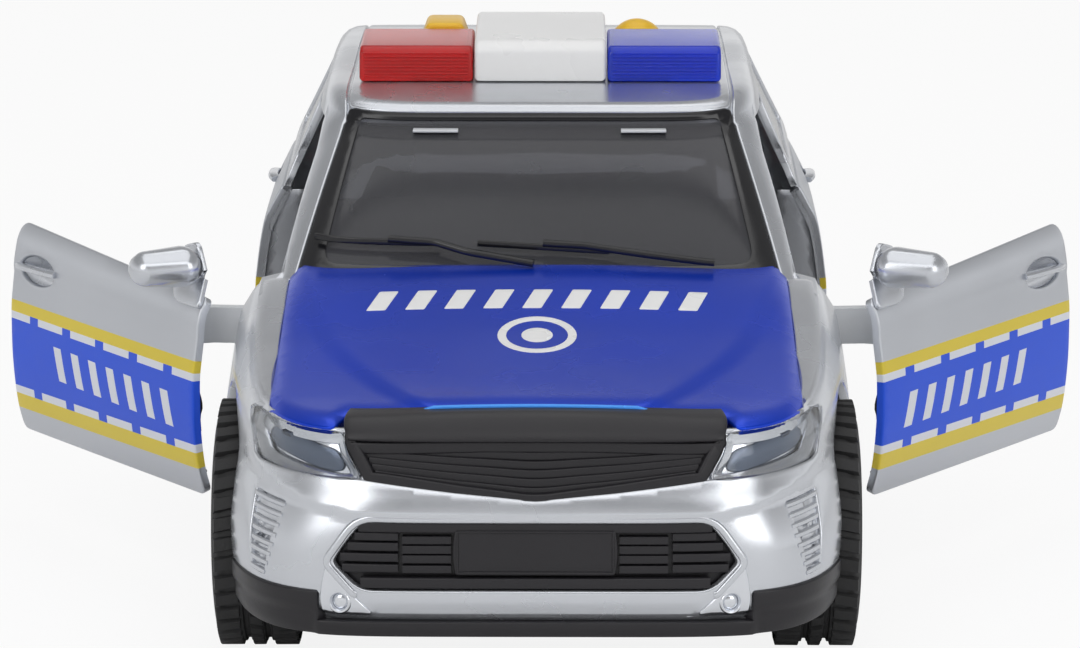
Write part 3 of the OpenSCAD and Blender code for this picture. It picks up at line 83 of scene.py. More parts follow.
# %% Camera
PICTURE_WIDTH = 1080.0
FOCAL_LENGTH = 4720.0
SENSOR = 36.0
CAMERA_PLACE = (5.2, -846.45, 232.15)
CAMERA_DIP, CAMERA_TURN = 13, 0.352
camera_data = bpy.data.cameras.new("front_camera")
camera_data.sensor_width = SENSOR
camera_data.lens = FOCAL_LENGTH / PICTURE_WIDTH * SENSOR
camera = in_scene("front_camera", camera_data)
camera.location = Vector(CAMERA_PLACE) * MM
camera.rotation_euler = (math.radians(90 - CAMERA_DIP), 0, math.radians(CAMERA_TURN))
bpy.context.scene.camera = camera
print("camera lens", round(camera_data.lens, 1), "mm")

# %% [markdown]
# ## Smooth tables
#
# A car body is a set of slowly changing measures: how high the wing is here, how far the side leans in
# there. Each measure is a short table, and a smooth curve through the table fills in the rest. It works
# on whole arrays of places at once, which keeps fine meshes quick.

# %% Curve through a table
def through(table):
    at, values = np.array(table, float).T
    rise = np.diff(values) / np.diff(at)
    slope = np.empty(len(at))
    slope[0] = rise[0]
    slope[-1] = rise[-1]
    wide = (values[2:] - values[:-2]) / (at[2:] - at[:-2])
    slope[1:-1] = np.where(rise[:-1] * rise[1:] <= 0, 0, wide)

    def curve(v):
        v = np.clip(np.asarray(v, float), at[0], at[-1])
        i = np.clip(np.searchsorted(at, v, side="right") - 1, 0, len(at) - 2)
        width = at[i + 1] - at[i]
        s = (v - at[i]) / width
        start = (2 * s**3 - 3 * s**2 + 1) * values[i] + (s**3 - 2 * s**2 + s) * width * slope[i]
        end = (3 * s**2 - 2 * s**3) * values[i + 1] + (s**3 - s**2) * width * slope[i + 1]
        return start + end
    return curve


def soft_step(v, start, end):
    s = np.clip((v - start) / (end - start), 0, 1)
    return s * s * (3 - 2 * s)


deck_z = through([(-119, 46.8), (-103, 47.48), (-79, 50.2), (-46, 55.2), (22, 58.2), (77, 59.5),
                  (119, 58.5)])
sill_z = through([(-46, 16.4), (22, 14.8), (77, 14.8), (101, 16.4)])
side_lean = through([(0, 0.46), (0.134, 0.18), (0.325, 0.02), (0.5, 0), (0.603, 0.04), (0.844, 0.35),
                     (0.923, 0.66), (1, 1)])
end_lean = through([(0, 0.3), (0.08, 0.04), (0.2, 0), (0.45, 0.04), (0.62, 0.2), (0.75, 0.42), (0.88, 0.7),
                    (0.95, 0.86), (1, 1)])
corner_power = through([(0, 6.2), (0.35, 5.6), (0.7, 4.6), (1, 5.6)])
print("wing over the front axle:", float(deck_z(-79)), "mm high")

# %% [markdown]
# ## The form of the lower body
#
# Seen from above the body is a rounded rectangle, and it leans in towards its top edge. Two questions are
# asked of it again and again: where is the nose or tail at a point of the front view, and where is the
# side at a point of the side view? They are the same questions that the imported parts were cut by, so
# everything lands on them.

# %% Nose, sides and deck as functions
def pair(a, b):
    return np.broadcast_arrays(np.asarray(a, float), np.asarray(b, float))


HALF_WIDTH, LEAN_IN = 54.0, 5.4
HALF_LENGTH, LEAN_BACK = 124.0, 5.0
DECK_CROWN = 1.5


def body_half(h):
    return HALF_WIDTH - LEAN_IN * side_lean(h)


def body_reach(h):
    return HALF_LENGTH - LEAN_BACK * end_lean(h)


def oval(t, half, reach, power):
    s, c = np.sin(np.radians(t)), np.cos(np.radians(t))
    return half * np.sign(s) * np.abs(s) ** (2 / power), -reach * np.sign(c) * np.abs(c) ** (2 / power)


def round_angle(x, y, half, reach, power):
    across = np.sign(x) * np.abs(x / half) ** (power / 2)
    ahead = -np.sign(y) * np.abs(y / reach) ** (power / 2)
    return np.degrees(np.arctan2(across, ahead))


def other_side(v, power):
    return (1 - np.minimum(1, np.abs(v) ** power)) ** (1 / power)


def level(y, z):
    return np.clip((z - sill_z(y)) / (deck_z(y) - sill_z(y)), 0, 1)


def end_y(x, z, s=-1):
    x, z = pair(x, z)
    y = np.full(x.shape, s * HALF_LENGTH)
    for _ in range(7):
        h = level(y, z)
        y = s * body_reach(h) * other_side(x / body_half(h), corner_power(h))
    return y


def side_x(y, z):
    h = level(y, z)
    return body_half(h) * other_side(y / body_reach(h), corner_power(h))


def deck_top(x, y):
    half = np.maximum(body_half(1) * other_side(y / body_reach(1), corner_power(1)), 0.2)
    return deck_z(y) + DECK_CROWN * (1 - np.minimum(1, (x / half) ** 2))


print("nose at the number plate: y =", round(float(end_y(0, 28)), 2))

# %% [markdown]
# ## Walking round the body
#
# For a skin that runs round the nose from door to door, one measure goes round the car and one goes up.
# The first is millimetres along the side from the middle of the nose. The second climbs to the top edge
# at 38, and from there walks inwards over the wing. The corner at the top edge is rounded by a short
# curve between the two.

# %% Ring coordinates
RING_TOP = 38.0
SHOULDER = 2.6
ring_angles = np.linspace(-200, 380, 11601)
ring_x, ring_y = oval(ring_angles, body_half(0.5), body_reach(0.5), corner_power(0.5))
ring_run = np.concatenate([[0], np.cumsum(np.hypot(np.diff(ring_x), np.diff(ring_y)))])
ring_run -= np.interp(0, ring_angles, ring_run)


def sharp_ring(u, v):
    t = np.interp(u, ring_run, ring_angles)
    h = np.clip(v / RING_TOP, 0, 1)
    inward = np.maximum(v - RING_TOP, 0)
    x, y = oval(t, body_half(h) - inward, body_reach(h) - inward, corner_power(h))
    z = np.where(inward > 0, deck_top(x, y), sill_z(y) + (deck_z(y) - sill_z(y)) * h)
    return np.stack([x, y, z], -1)


def ring(u, v):
    u, v = pair(u, v)
    point = sharp_ring(u, v)
    s = np.clip((v - RING_TOP + SHOULDER) / (2 * SHOULDER), 0, 1)[..., None]
    low, corner, high = (sharp_ring(u, np.full(u.shape, RING_TOP + d)) for d in (-SHOULDER, 0, SHOULDER))
    rounded = (1 - s) ** 2 * low + 2 * s * (1 - s) * corner + s**2 * high
    return np.where((np.abs(v - RING_TOP) < SHOULDER)[..., None], rounded, point)


def ring_place(x, y, z):
    h = level(y, z)
    t = round_angle(x, y, body_half(h), body_reach(h), corner_power(h))
    return np.interp(t, ring_angles, ring_run), h * RING_TOP


def on_nose(points):
    x, z = np.array(points, float).T
    return np.stack(ring_place(x, end_y(x, z), z), -1)


def on_side(points):
    y, z = np.array(points, float).T
    return np.stack(ring_place(side_x(y, z), y, z), -1)


TAIL = float(np.interp(180, ring_angles, ring_run))
print("half way round the body:", round(TAIL, 1), "mm")

# %% [markdown]
# ## A moulded skin
#
# Nearly every outer piece of a moulded toy is a thin skin with an outline, some openings and slightly
# rounded edges. A grid with Boolean cuts could make one, but it leaves ragged edges. Here the outline is
# drawn flat, filled with evenly spaced triangles, and only then laid on the curved form. A rim is rolled
# round every edge, and a second face closes the back, so the skin has a real thickness.

# %% Helpers for flat outlines
def spaced(loop, step):
    loop = np.array(loop, float)
    points = []
    for a, b in zip(loop, np.roll(loop, -1, 0)):
        n = max(1, math.ceil(np.linalg.norm(b - a) / step))
        points.extend(a + (b - a) * k / n for k in range(n))
    return np.array(points)


def within(points, loop):
    hits = np.zeros(len(points), bool)
    px, py = points.T
    for (ax, ay), (bx, by) in zip(loop, np.roll(loop, -1, 0)):
        if ay != by:
            hits ^= ((ay > py) != (by > py)) & (px < (bx - ax) * (py - ay) / (by - ay) + ax)
    return hits


def rounded_loop(points, radius, turns=5):
    points = np.array(points, float)
    radii = np.broadcast_to(radius, len(points))
    loop = []
    for before, corner, after, r in zip(np.roll(points, 1, 0), points, np.roll(points, -1, 0), radii):
        a, b = before - corner, after - corner
        la, lb = np.linalg.norm(a), np.linalg.norm(b)
        cut = min(r, la / 2.05, lb / 2.05)
        start, end = corner + a / la * cut, corner + b / lb * cut
        for k in range(turns + 1):
            s = k / turns
            loop.append((1 - s) ** 2 * start + 2 * s * (1 - s) * corner + s**2 * end)
    return np.array(loop)


def rounded_box(x0, x1, z0, z1, radius):
    return rounded_loop([(x0, z0), (x1, z0), (x1, z1), (x0, z1)], radius)


def arc(centre, radius, start, end, count):
    return [(centre[0] + radius * math.cos(a), centre[1] + radius * math.sin(a))
            for a in np.radians(np.linspace(start, end, count))]


def oval_loop(centre, wide, tall, count=40):
    return [(centre[0] + wide * math.cos(a), centre[1] + tall * math.sin(a))
            for a in np.linspace(0, 2 * math.pi, count, endpoint=False)]


def mirrored(loop):
    loop = np.array(loop, float)
    return np.stack([-loop[:, 0], loop[:, 1]], -1)[::-1]


def both_sides(half):
    half = np.array(half, float)
    return np.concatenate([half, mirrored(half)])


def sided(s, *loops):
    return list(loops) if s > 0 else [mirrored(loop) for loop in loops]


print("a rounded square has", len(rounded_box(0, 10, 0, 10, 2)), "points")

# %% [markdown]
# The flat shape is filled with points in staggered rows, kept a little away from its border, and joined
# by a triangulation that respects every edge of the border.

# %% Filling an outline
def fill_outline(outline, holes, step):
    loops = [spaced(loop, step) for loop in (outline, *holes)]
    border = np.concatenate(loops)
    near = kdtree.KDTree(len(border))
    for i, p in enumerate(border):
        near.insert((p[0], p[1], 0), i)
    near.balance()
    low, high = border.min(0), border.max(0)
    rows = np.arange(low[1] + step / 2, high[1], step * 0.87)
    grid = np.array([(x + (j % 2) * step / 2, y) for j, y in enumerate(rows)
                     for x in np.arange(low[0] + step / 2, high[0], step)]).reshape(-1, 2)
    keep = within(grid, loops[0])
    for loop in loops[1:]:
        keep &= ~within(grid, loop)
    grid = np.array([p for p in grid[keep] if near.find((p[0], p[1], 0))[2] > 0.6 * step]).reshape(-1, 2)
    edges = []
    first = 0
    for loop in loops:
        edges += [(first + i, first + (i + 1) % len(loop)) for i in range(len(loop))]
        first += len(loop)
    flat = [Vector(p) for p in np.concatenate([border, grid])]
    result = geometry.delaunay_2d_cdt(flat, edges, [], 1, 1e-7)
    points = np.array([tuple(p) for p in result[0]])
    tris = np.array([f for f in result[2] if len(f) == 3])
    a, b, c = (points[tris[:, k]] for k in range(3))
    area = (b[:, 0] - a[:, 0]) * (c[:, 1] - a[:, 1]) - (b[:, 1] - a[:, 1]) * (c[:, 0] - a[:, 0])
    tris[area < 0] = tris[area < 0][:, ::-1]
    middle = (a + b + c) / 3
    keep = np.abs(area) > 1e-5
    for loop in loops[1:]:
        keep &= ~within(middle, loop)
    return points, tris[keep]


trial_square = [(0, 0), (10, 0), (10, 10), (0, 10)]
print("a 10 mm square filled at 1 mm:", len(fill_outline(trial_square, (), 1.0)[1]), "triangles")

# %% [markdown]
# A form is a function that takes the flat place to a point in space. Its normal comes from four
# neighbours, which works for every form alike. A form can also be lifted along that normal, by one height
# or by a relief.

# %% Mesh and skin makers
def smooth(mesh, sharp):
    mesh.polygons.foreach_set("use_smooth", [True] * len(mesh.polygons))
    mesh.set_sharp_from_angle(angle=math.radians(sharp))


def mesh_object(name, points, faces, material, sharp=40, uv=None):
    mesh = bpy.data.meshes.new(name)
    mesh.from_pydata([tuple(p) for p in np.asarray(points, float) * MM], [],
                     [tuple(map(int, f)) for f in faces])
    smooth(mesh, sharp)
    if uv is not None:
        layer = mesh.uv_layers.new(name="UVMap")
        corners = np.empty(len(mesh.loops), int)
        mesh.loops.foreach_get("vertex_index", corners)
        layer.data.foreach_set("uv", np.asarray(uv, float)[corners].ravel())
    if material:
        mesh.materials.append(material)
    return in_scene(name, mesh)


def unit(v):
    return v / np.maximum(np.linalg.norm(v, axis=-1, keepdims=True), 1e-12)


def normal_of(place, u, v, e):
    return unit(np.cross(place(u + e, v) - place(u - e, v), place(u, v + e) - place(u, v - e)))


def lifted(place, height):
    def raised(u, v):
        point = place(u, v)
        lift = height(point) if callable(height) else height
        return point + normal_of(place, u, v, 0.05) * np.asarray(lift, float)[..., None]
    return raised


def skin_arrays(place, outline, holes=(), step=1.3, thick=1.5, roll=0.35, turns=3):
    flat, tris = fill_outline(outline, holes, step)
    u, v = flat.T
    face = place(u, v)
    normal = normal_of(place, u, v, 0.04)
    directed = {(int(a), int(b)) for t in tris for a, b in zip(t, np.roll(t, -1))}
    after = {a: b for a, b in directed if (b, a) not in directed}
    before = {b: a for a, b in after.items()}
    rim = np.array(sorted(after))
    spot = {int(i): k for k, i in enumerate(rim)}
    way = np.array([face[after[i]] - face[before[i]] for i in rim])
    out = unit(np.cross(unit(way), normal[rim]))
    rings = []
    for k in range(1, turns + 1):
        a = math.pi / 2 * k / turns
        rings.append(face[rim] + out * roll * math.sin(a) - normal[rim] * roll * (1 - math.cos(a)))
    rings.append(face[rim] + out * roll - normal[rim] * thick)
    points = np.concatenate([face, *rings, face - normal * thick])
    n, m = len(face), len(rim)

    def on_ring(k, i):
        return i if k < 0 else n + k * m + spot[i]

    faces = [tuple(t) for t in tris]
    for a, b in after.items():
        for k in range(-1, len(rings) - 1):
            faces.append((on_ring(k, b), on_ring(k, a), on_ring(k + 1, a), on_ring(k + 1, b)))
    base = n + len(rings) * m
    last = len(rings) - 1

    def inner(i):
        return on_ring(last, i) if i in spot else base + i

    faces += [tuple(inner(int(i)) for i in t[::-1]) for t in tris]
    flat_all = np.concatenate([flat] + [flat[rim]] * len(rings) + [flat])
    used = np.zeros(len(points), bool)
    for f in faces:
        used[list(f)] = True
    number = np.cumsum(used) - 1
    return points[used], [tuple(number[i] for i in f) for f in faces], flat_all[used]


def skin(name, place, outline, holes=(), material=None, uv=None, **sizes):
    points, faces, flat = skin_arrays(place, outline, holes, **sizes)
    piece = mesh_object(name, points, faces, material, uv=None if uv is None else uv(flat))
    print(name, len(faces), "faces")
    return piece


print("nose lifted by 1 mm: y =", round(float(lifted(ring, 1.0)(0.0, 20.0)[1]), 2))

# %% [markdown]
# ## Finishes
#
# A single flat colour never looks like a moulded or painted thing. Every finish here has a slow drift of
# colour, a roughness that wanders a little, and a fine grain in its bump, all read from the object's own
# coordinates, so they stay put when a door swings. Values that are the same all over go straight on the
# shader.

# %% A builder for moulded and painted finishes
def bare_material(name):
    material = bpy.data.materials.new(name)
    material.use_nodes = True
    tree = material.node_tree
    shader = tree.nodes["Principled BSDF"]
    coords = tree.nodes.new("ShaderNodeTexCoord")
    return material, tree, shader, coords.outputs["Object"]


def calc(tree, operation, first, second=None, third=None):
    node = tree.nodes.new("ShaderNodeMath")
    node.operation = operation
    for socket, value in zip(node.inputs, (first, second, third)):
        if value is None:
            continue
        if isinstance(value, (int, float)):
            socket.default_value = value
        else:
            tree.links.new(value, socket)
    return node.outputs[0]


def noise(tree, coords, scale, detail=3.0):
    texture = tree.nodes.new("ShaderNodeTexNoise")
    texture.inputs["Scale"].default_value = scale
    texture.inputs["Detail"].default_value = detail
    tree.links.new(coords, texture.inputs["Vector"])
    return texture.outputs["Fac"]


def spread(tree, source, low, high, start=0.3, end=0.7):
    ramp = tree.nodes.new("ShaderNodeMapRange")
    tree.links.new(source, ramp.inputs["Value"])
    for socket, value in (("From Min", start), ("From Max", end), ("To Min", low), ("To Max", high)):
        ramp.inputs[socket].default_value = value
    return ramp.outputs["Result"]


def blend(tree, factor, first, second):
    mix = tree.nodes.new("ShaderNodeMix")
    mix.data_type = "RGBA"
    tree.links.new(factor, mix.inputs["Factor"])
    for socket, value in (("A", first), ("B", second)):
        target = [i for i in mix.inputs if i.name == socket and i.type == "RGBA"][0]
        if isinstance(value, tuple):
            target.default_value = (*value, 1)
        else:
            tree.links.new(value, target)
    return [o for o in mix.outputs if o.type == "RGBA"][0]


def shade(colour, amount):
    return tuple(min(1, c * amount) for c in colour)


ROUGH_DRIFT, GRAIN_HEIGHT, COAT_ROUGHNESS = 0.06, 0.0002, 0.06


def add_grain(tree, shader, coords, rough, rough_drift, grain, bump):
    drift = noise(tree, coords, 55)
    tree.links.new(spread(tree, drift, rough - rough_drift, rough + rough_drift),
                   shader.inputs["Roughness"])
    relief = tree.nodes.new("ShaderNodeBump")
    relief.inputs["Strength"].default_value = bump
    relief.inputs["Distance"].default_value = GRAIN_HEIGHT
    tree.links.new(noise(tree, coords, grain, 2), relief.inputs["Height"])
    tree.links.new(relief.outputs["Normal"], shader.inputs["Normal"])


def finish(name, colour, rough=0.4, metal=0.0, coat=0.0, drift=0.08, grain=2500, bump=0.08, spec=0.5):
    material, tree, shader, coords = bare_material(name)
    tone = blend(tree, spread(tree, noise(tree, coords, 18), 0, 1),
                 shade(colour, 1 - drift), shade(colour, 1 + drift))
    tree.links.new(tone, shader.inputs["Base Color"])
    shader.inputs["Metallic"].default_value = metal
    shader.inputs["Coat Weight"].default_value = coat
    shader.inputs["Coat Roughness"].default_value = COAT_ROUGHNESS
    shader.inputs["Specular IOR Level"].default_value = spec
    add_grain(tree, shader, coords, rough, ROUGH_DRIFT, grain, bump)
    return material


print("a mid grey drifts up to", shade((0.5, 0.5, 0.5), 1.08))

# %% [markdown]
# Each colour of the toy gets one finish: metallic paint for the shell, tinted plastics for the rest,
# rubber, steel.

# %% Palette of the car
silver = finish("silver_paint", (0.62, 0.64, 0.68), rough=0.25, metal=0.8, coat=0.25, drift=0.04,
                grain=7000, bump=0.03)
deep_blue = finish("blue_paint", (0.005, 0.05, 0.6), rough=0.26, metal=0.5, coat=0.1, drift=0.08,
                   grain=7000, bump=0.06, spec=0.3)
# The lip's lighter blue is a painted highlight: a lit copy of the bonnet's blue paint, not a second colour
# of the toy.
blue_lip_highlight = finish("blue_lip_painted_highlight", (0.05, 0.3, 0.9), rough=0.25, metal=0.3, coat=0.2, drift=0.08,
                  grain=7000, bump=0.05)
black_plastic = finish("black_plastic", (0.016, 0.015, 0.018), rough=0.38, drift=0.15, bump=0.12, spec=0.4)
gloss_black = finish("gloss_black", (0.01, 0.01, 0.012), rough=0.16, drift=0.1, bump=0.04)
bright_plate = finish("bright_plating", (0.72, 0.74, 0.78), rough=0.14, metal=1.0, drift=0.04, bump=0.05)
white_plastic = finish("white_plastic", (0.86, 0.86, 0.86), rough=0.3, drift=0.02, bump=0.06)
pale_plastic = finish("pale_plastic", (0.66, 0.68, 0.71), rough=0.36, drift=0.04, bump=0.08)
yellow_plastic = finish("yellow_plastic", (0.86, 0.52, 0.02), rough=0.33, drift=0.05, bump=0.08)
grey_plastic = finish("grey_plastic", (0.2, 0.205, 0.22), rough=0.45, drift=0.08, bump=0.12)
seat_plastic = finish("seat_plastic", (0.045, 0.045, 0.05), rough=0.55, drift=0.12, grain=1600, bump=0.3)
tyre_rubber = finish("tyre_rubber", (0.018, 0.018, 0.019), rough=0.66, drift=0.2, grain=1800, bump=0.3)
steel = finish("steel", (0.5, 0.5, 0.52), rough=0.3, metal=1.0, drift=0.05, bump=0.1)
board_green = finish("green_board", (0.03, 0.22, 0.1), rough=0.4, drift=0.15, bump=0.1)
cell_jacket = finish("cell_jacket", (0.5, 0.34, 0.06), rough=0.28, metal=0.4, drift=0.08, bump=0.05)
tail_red = finish("tail_red", (0.5, 0.012, 0.012), rough=0.15, coat=0.5, drift=0.1, bump=0.05)
mirror_foil = finish("mirror_foil", (0.8, 0.82, 0.85), rough=0.06, metal=1.0, drift=0.02, bump=0.02)
lamp_dark = finish("lamp_dark", (0.13, 0.16, 0.22), rough=0.22, metal=0.5, drift=0.1, bump=0.05)
print("finishes:", len(bpy.data.materials))

# %% [markdown]
# ## Clear and tinted plastic
#
# The light bar is two coloured lenses, the lamps have clear covers, and the glazing is a dark tint. Real
# light through a thin shell needs transmission; a little roughness keeps it looking moulded rather than
# like fine glass.

# %% Clear finishes
def clear_finish(name, colour, rough, clear=1.0, grain=3000, bump=0.03, ior=1.45):
    material, tree, shader, coords = bare_material(name)
    tone = blend(tree, spread(tree, noise(tree, coords, 30), 0, 1),
                 shade(colour, 0.93), shade(colour, 1.05))
    tree.links.new(tone, shader.inputs["Base Color"])
    shader.inputs["Transmission Weight"].default_value = clear
    shader.inputs["IOR"].default_value = ior
    add_grain(tree, shader, coords, rough, rough / 3, grain, bump)
    return material


clear_plastic = clear_finish("clear_plastic", (0.97, 0.985, 1.0), 0.04, ior=1.3)
tinted_glazing = clear_finish("tinted_glazing", (0.13, 0.132, 0.145), 0.05, clear=0.62, ior=1.25)
red_lens = clear_finish("red_lens", (0.85, 0.012, 0.012), 0.16, clear=0.55)
blue_lens = clear_finish("blue_lens", (0.01, 0.06, 0.85), 0.16, clear=0.55)
print("clear finishes:", clear_plastic.name, tinted_glazing.name, red_lens.name, blue_lens.name)

# %% [markdown]
# ## Floor, light and surroundings
#
# A white sweep with big soft lamps, as for a product shot. The floor is bright for the camera, but still
# takes the car's shadow. The lamps stay at a plain level, so that a colour looks about as it is written.

# %% Floor
FLOOR = 4000.0
FLOOR_GLOW = 0.88


def mix_shaders(tree, factor, first, second, output):
    mix = tree.nodes.new("ShaderNodeMixShader")
    tree.links.new(factor, mix.inputs["Fac"])
    tree.links.new(first.outputs[0], mix.inputs[1])
    tree.links.new(second.outputs[0], mix.inputs[2])
    tree.links.new(mix.outputs[0], output.inputs["Surface"])


def stage_material():
    material = bpy.data.materials.new("studio_floor")
    material.use_nodes = True
    tree = material.node_tree
    shader = tree.nodes["Principled BSDF"]
    shader.inputs["Base Color"].default_value = (0.93, 0.93, 0.93, 1)
    shader.inputs["Roughness"].default_value = 0.8
    glow = tree.nodes.new("ShaderNodeEmission")
    glow.inputs["Color"].default_value = (1, 1, 1, 1)
    path = tree.nodes.new("ShaderNodeLightPath")
    share = calc(tree, "MULTIPLY", path.outputs["Is Camera Ray"], FLOOR_GLOW)
    mix_shaders(tree, share, shader, glow, tree.nodes["Material Output"])
    return material


floor_corners = [(-FLOOR, -FLOOR, 0), (FLOOR, -FLOOR, 0), (FLOOR, FLOOR, 0), (-FLOOR, FLOOR, 0)]
floor = mesh_object("studio_floor_sheet", floor_corners, [(0, 1, 2, 3)], stage_material())
floor.location.z = -0.0002
print("floor:", 2 * FLOOR * MM, "m wide")

# %% [markdown]
# Large lamps give soft edges to the highlights on paint. Small ones would show as hard spots, which a toy
# in a photographer's tent never has.

# %% Lamps
def soft_lamp(name, place, target, size, power):
    data = bpy.data.lights.new(name, "AREA")
    data.shape = "RECTANGLE"
    data.size, data.size_y = size
    data.energy = power
    lamp = in_scene(name, data)
    lamp.location = place
    lamp.rotation_euler = (Vector(target) - Vector(place)).to_track_quat("-Z", "Y").to_euler()


LAMPS = (
    ("overhead", (0, -0.1, 1.3), (0, 0, 0.04), (1.3, 1.3), 5.0),
    ("front_left", (-0.9, -1.1, 0.75), (0, 0, 0.04), (0.7, 0.7), 3.6),
    ("front_right", (0.95, -1.0, 0.6), (0, 0, 0.04), (0.6, 0.8), 3.0),
    ("front_high", (0, -1.0, 1.1), (0, -0.08, 0.04), (1.6, 0.4), 3.2),
    ("behind", (0, 0.9, 1.5), (0, 0, 0.05), (1.0, 0.4), 1.6),
)
for lamp_values in LAMPS:
    soft_lamp(*lamp_values)
print("lamps:", len(bpy.data.lights))

# %% [markdown]
# The surroundings are white for the camera. Mirrors and clear plastic see a white that fades overhead,
# which gives the metallic paint its dark and light bands, and the shaded sides only get a dim fill.

# %% Surroundings
world = bpy.data.worlds.new("studio")
bpy.context.scene.world = world
world.use_nodes = True
tree = world.node_tree
dim = tree.nodes["Background"]
bright = tree.nodes.new("ShaderNodeBackground")
for background in (dim, bright):
    background.inputs["Color"].default_value = (1, 1, 1, 1)
dim.inputs["Strength"].default_value = 0.35
rays = tree.nodes.new("ShaderNodeLightPath").outputs
seen = rays["Is Camera Ray"]
sky = tree.nodes.new("ShaderNodeSeparateXYZ")
tree.links.new(tree.nodes.new("ShaderNodeTexCoord").outputs["Generated"], sky.inputs[0])
fade = spread(tree, sky.outputs["Z"], 0.9, 0.3, start=0.1, end=0.5)
tree.links.new(calc(tree, "MAXIMUM", fade, seen), bright.inputs["Strength"])
for ray in ("Is Glossy Ray", "Is Transmission Ray"):
    seen = calc(tree, "MAXIMUM", seen, rays[ray])
mix_shaders(tree, seen, dim, bright, tree.nodes["World Output"])
bpy.context.scene.view_settings.view_transform = "Standard"
print("world nodes:", len(tree.nodes))

# %% [markdown]
# ## Bars that follow a path
#
# Grille slats, vent ribs, frames and wiper rubbers are all the same idea: a small profile drawn along a
# line. A Geometry Nodes tree does it once for all of them: it turns edges into curves, sweeps a rounded
# profile along them, and gives the result its finish. The tree's sizes are inputs, so one tree serves
# every set of bars.

# %% Node tree: bars along paths
def empty_tree(name, values):
    tree = bpy.data.node_groups.new(name, "GeometryNodeTree")
    face = tree.interface
    face.new_socket("Geometry", in_out="INPUT", socket_type="NodeSocketGeometry")
    for title, start in values:
        kind = "NodeSocketInt" if isinstance(start, int) else "NodeSocketFloat"
        face.new_socket(title, in_out="INPUT", socket_type=kind).default_value = start
    face.new_socket("Finish", in_out="INPUT", socket_type="NodeSocketMaterial")
    face.new_socket("Geometry", in_out="OUTPUT", socket_type="NodeSocketGeometry")
    return tree, tree.nodes.new("NodeGroupInput"), tree.nodes.new("NodeGroupOutput")


def wire(tree, steps):
    for source, out, target, into in steps:
        tree.links.new(source.outputs[out], target.inputs[into])


def bar_tree():
    sizes = (("Width", 0.001), ("Height", 0.001), ("Rounding", 0.0003))
    tree, entry, leave = empty_tree("bars_along_paths", sizes)
    nodes = tree.nodes
    to_curve = nodes.new("GeometryNodeMeshToCurve")
    profile = nodes.new("GeometryNodeCurvePrimitiveQuadrilateral")
    fillet = nodes.new("GeometryNodeFilletCurve")
    fillet.mode = "POLY"
    fillet.inputs["Count"].default_value = 3
    sweep = nodes.new("GeometryNodeCurveToMesh")
    sweep.inputs["Fill Caps"].default_value = True
    soft = nodes.new("GeometryNodeSetShadeSmooth")
    paint = nodes.new("GeometryNodeSetMaterial")
    real = nodes.new("GeometryNodeRealizeInstances")
    wire(tree, (
        (entry, "Geometry", to_curve, "Mesh"),
        (entry, "Width", profile, "Width"),
        (entry, "Height", profile, "Height"),
        (profile, "Curve", fillet, "Curve"),
        (entry, "Rounding", fillet, "Radius"),
        (to_curve, "Curve", sweep, "Curve"),
        (fillet, "Curve", sweep, "Profile Curve"),
        (sweep, "Mesh", soft, "Geometry"),
        (soft, "Geometry", real, "Geometry"),
        (real, "Geometry", paint, "Geometry"),
        (entry, "Finish", paint, "Material"),
        (paint, "Geometry", leave, "Geometry"),
    ))
    return tree


BARS = bar_tree()
print("bar tree:", len(BARS.nodes), "nodes")

# %% [markdown]
# A tree's result is settled into a plain mesh at once. Pieces that belong together are joined, each
# keeping its finish, and a finished piece is dressed: it rides on a body and stands for the imported
# part that it covers.

# %% Sweeping, joining and dressing
def set_inputs(modifier, values):
    for item in modifier.node_group.interface.items_tree:
        if item.item_type == "SOCKET" and item.in_out == "INPUT" and item.name in values:
            modifier[item.identifier] = values[item.name]


def settle(source, name):
    bpy.context.view_layer.update()
    made = source.evaluated_get(bpy.context.evaluated_depsgraph_get())
    mesh = bpy.data.meshes.new_from_object(made)
    mesh.name = name
    bpy.data.objects.remove(source)
    return in_scene(name, mesh)


def bars(name, paths, width, height, rounding, material, closed=False, sharp=40):
    points, edges = [], []
    for path in paths:
        first = len(points)
        points.extend(path)
        edges += [(first + i, first + i + 1) for i in range(len(path) - 1)]
        if closed:
            edges.append((len(points) - 1, first))
    mesh = bpy.data.meshes.new(name + "_paths")
    mesh.from_pydata([tuple(np.asarray(p, float) * MM) for p in points], edges, [])
    source = in_scene(name + "_paths", mesh)
    modifier = source.modifiers.new("bars", "NODES")
    modifier.node_group = BARS
    set_inputs(modifier, {"Width": width * MM, "Height": height * MM, "Rounding": rounding * MM,
                          "Finish": material})
    piece = settle(source, name)
    piece.data.set_sharp_from_angle(angle=math.radians(sharp))
    print(name, len(paths), "bars,", len(piece.data.polygons), "faces")
    return piece


def joined(name, pieces):
    points, faces, mats, slots = [], [], [], []
    for piece in pieces:
        first = len(points)
        points.extend(v.co / MM for v in piece.data.vertices)
        for polygon in piece.data.polygons:
            faces.append([first + i for i in polygon.vertices])
            material = piece.data.materials[polygon.material_index]
            if material not in slots:
                slots.append(material)
            mats.append(slots.index(material))
        bpy.data.objects.remove(piece)
    whole = mesh_object(name, points, faces, None)
    for material in slots:
        whole.data.materials.append(material)
    whole.data.polygons.foreach_set("material_index", mats)
    return whole


def dress(piece, body, slot, *nodes):
    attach(piece, body)
    for node in nodes:
        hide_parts(node)
    return piece


print("packed parts to dress:", len(frame["nodes"]))

# %% [markdown]
# ## The front of the body
#
# One silver moulding runs from the left door round the nose to the right door: both wings, the bumper and
# the band under the lamps. Its outline follows the wheel arches, the black skirt, the lamps, the grille
# and the bonnet. The bumper stands a little proud of the band above it, along a crease that rises towards
# the corners.

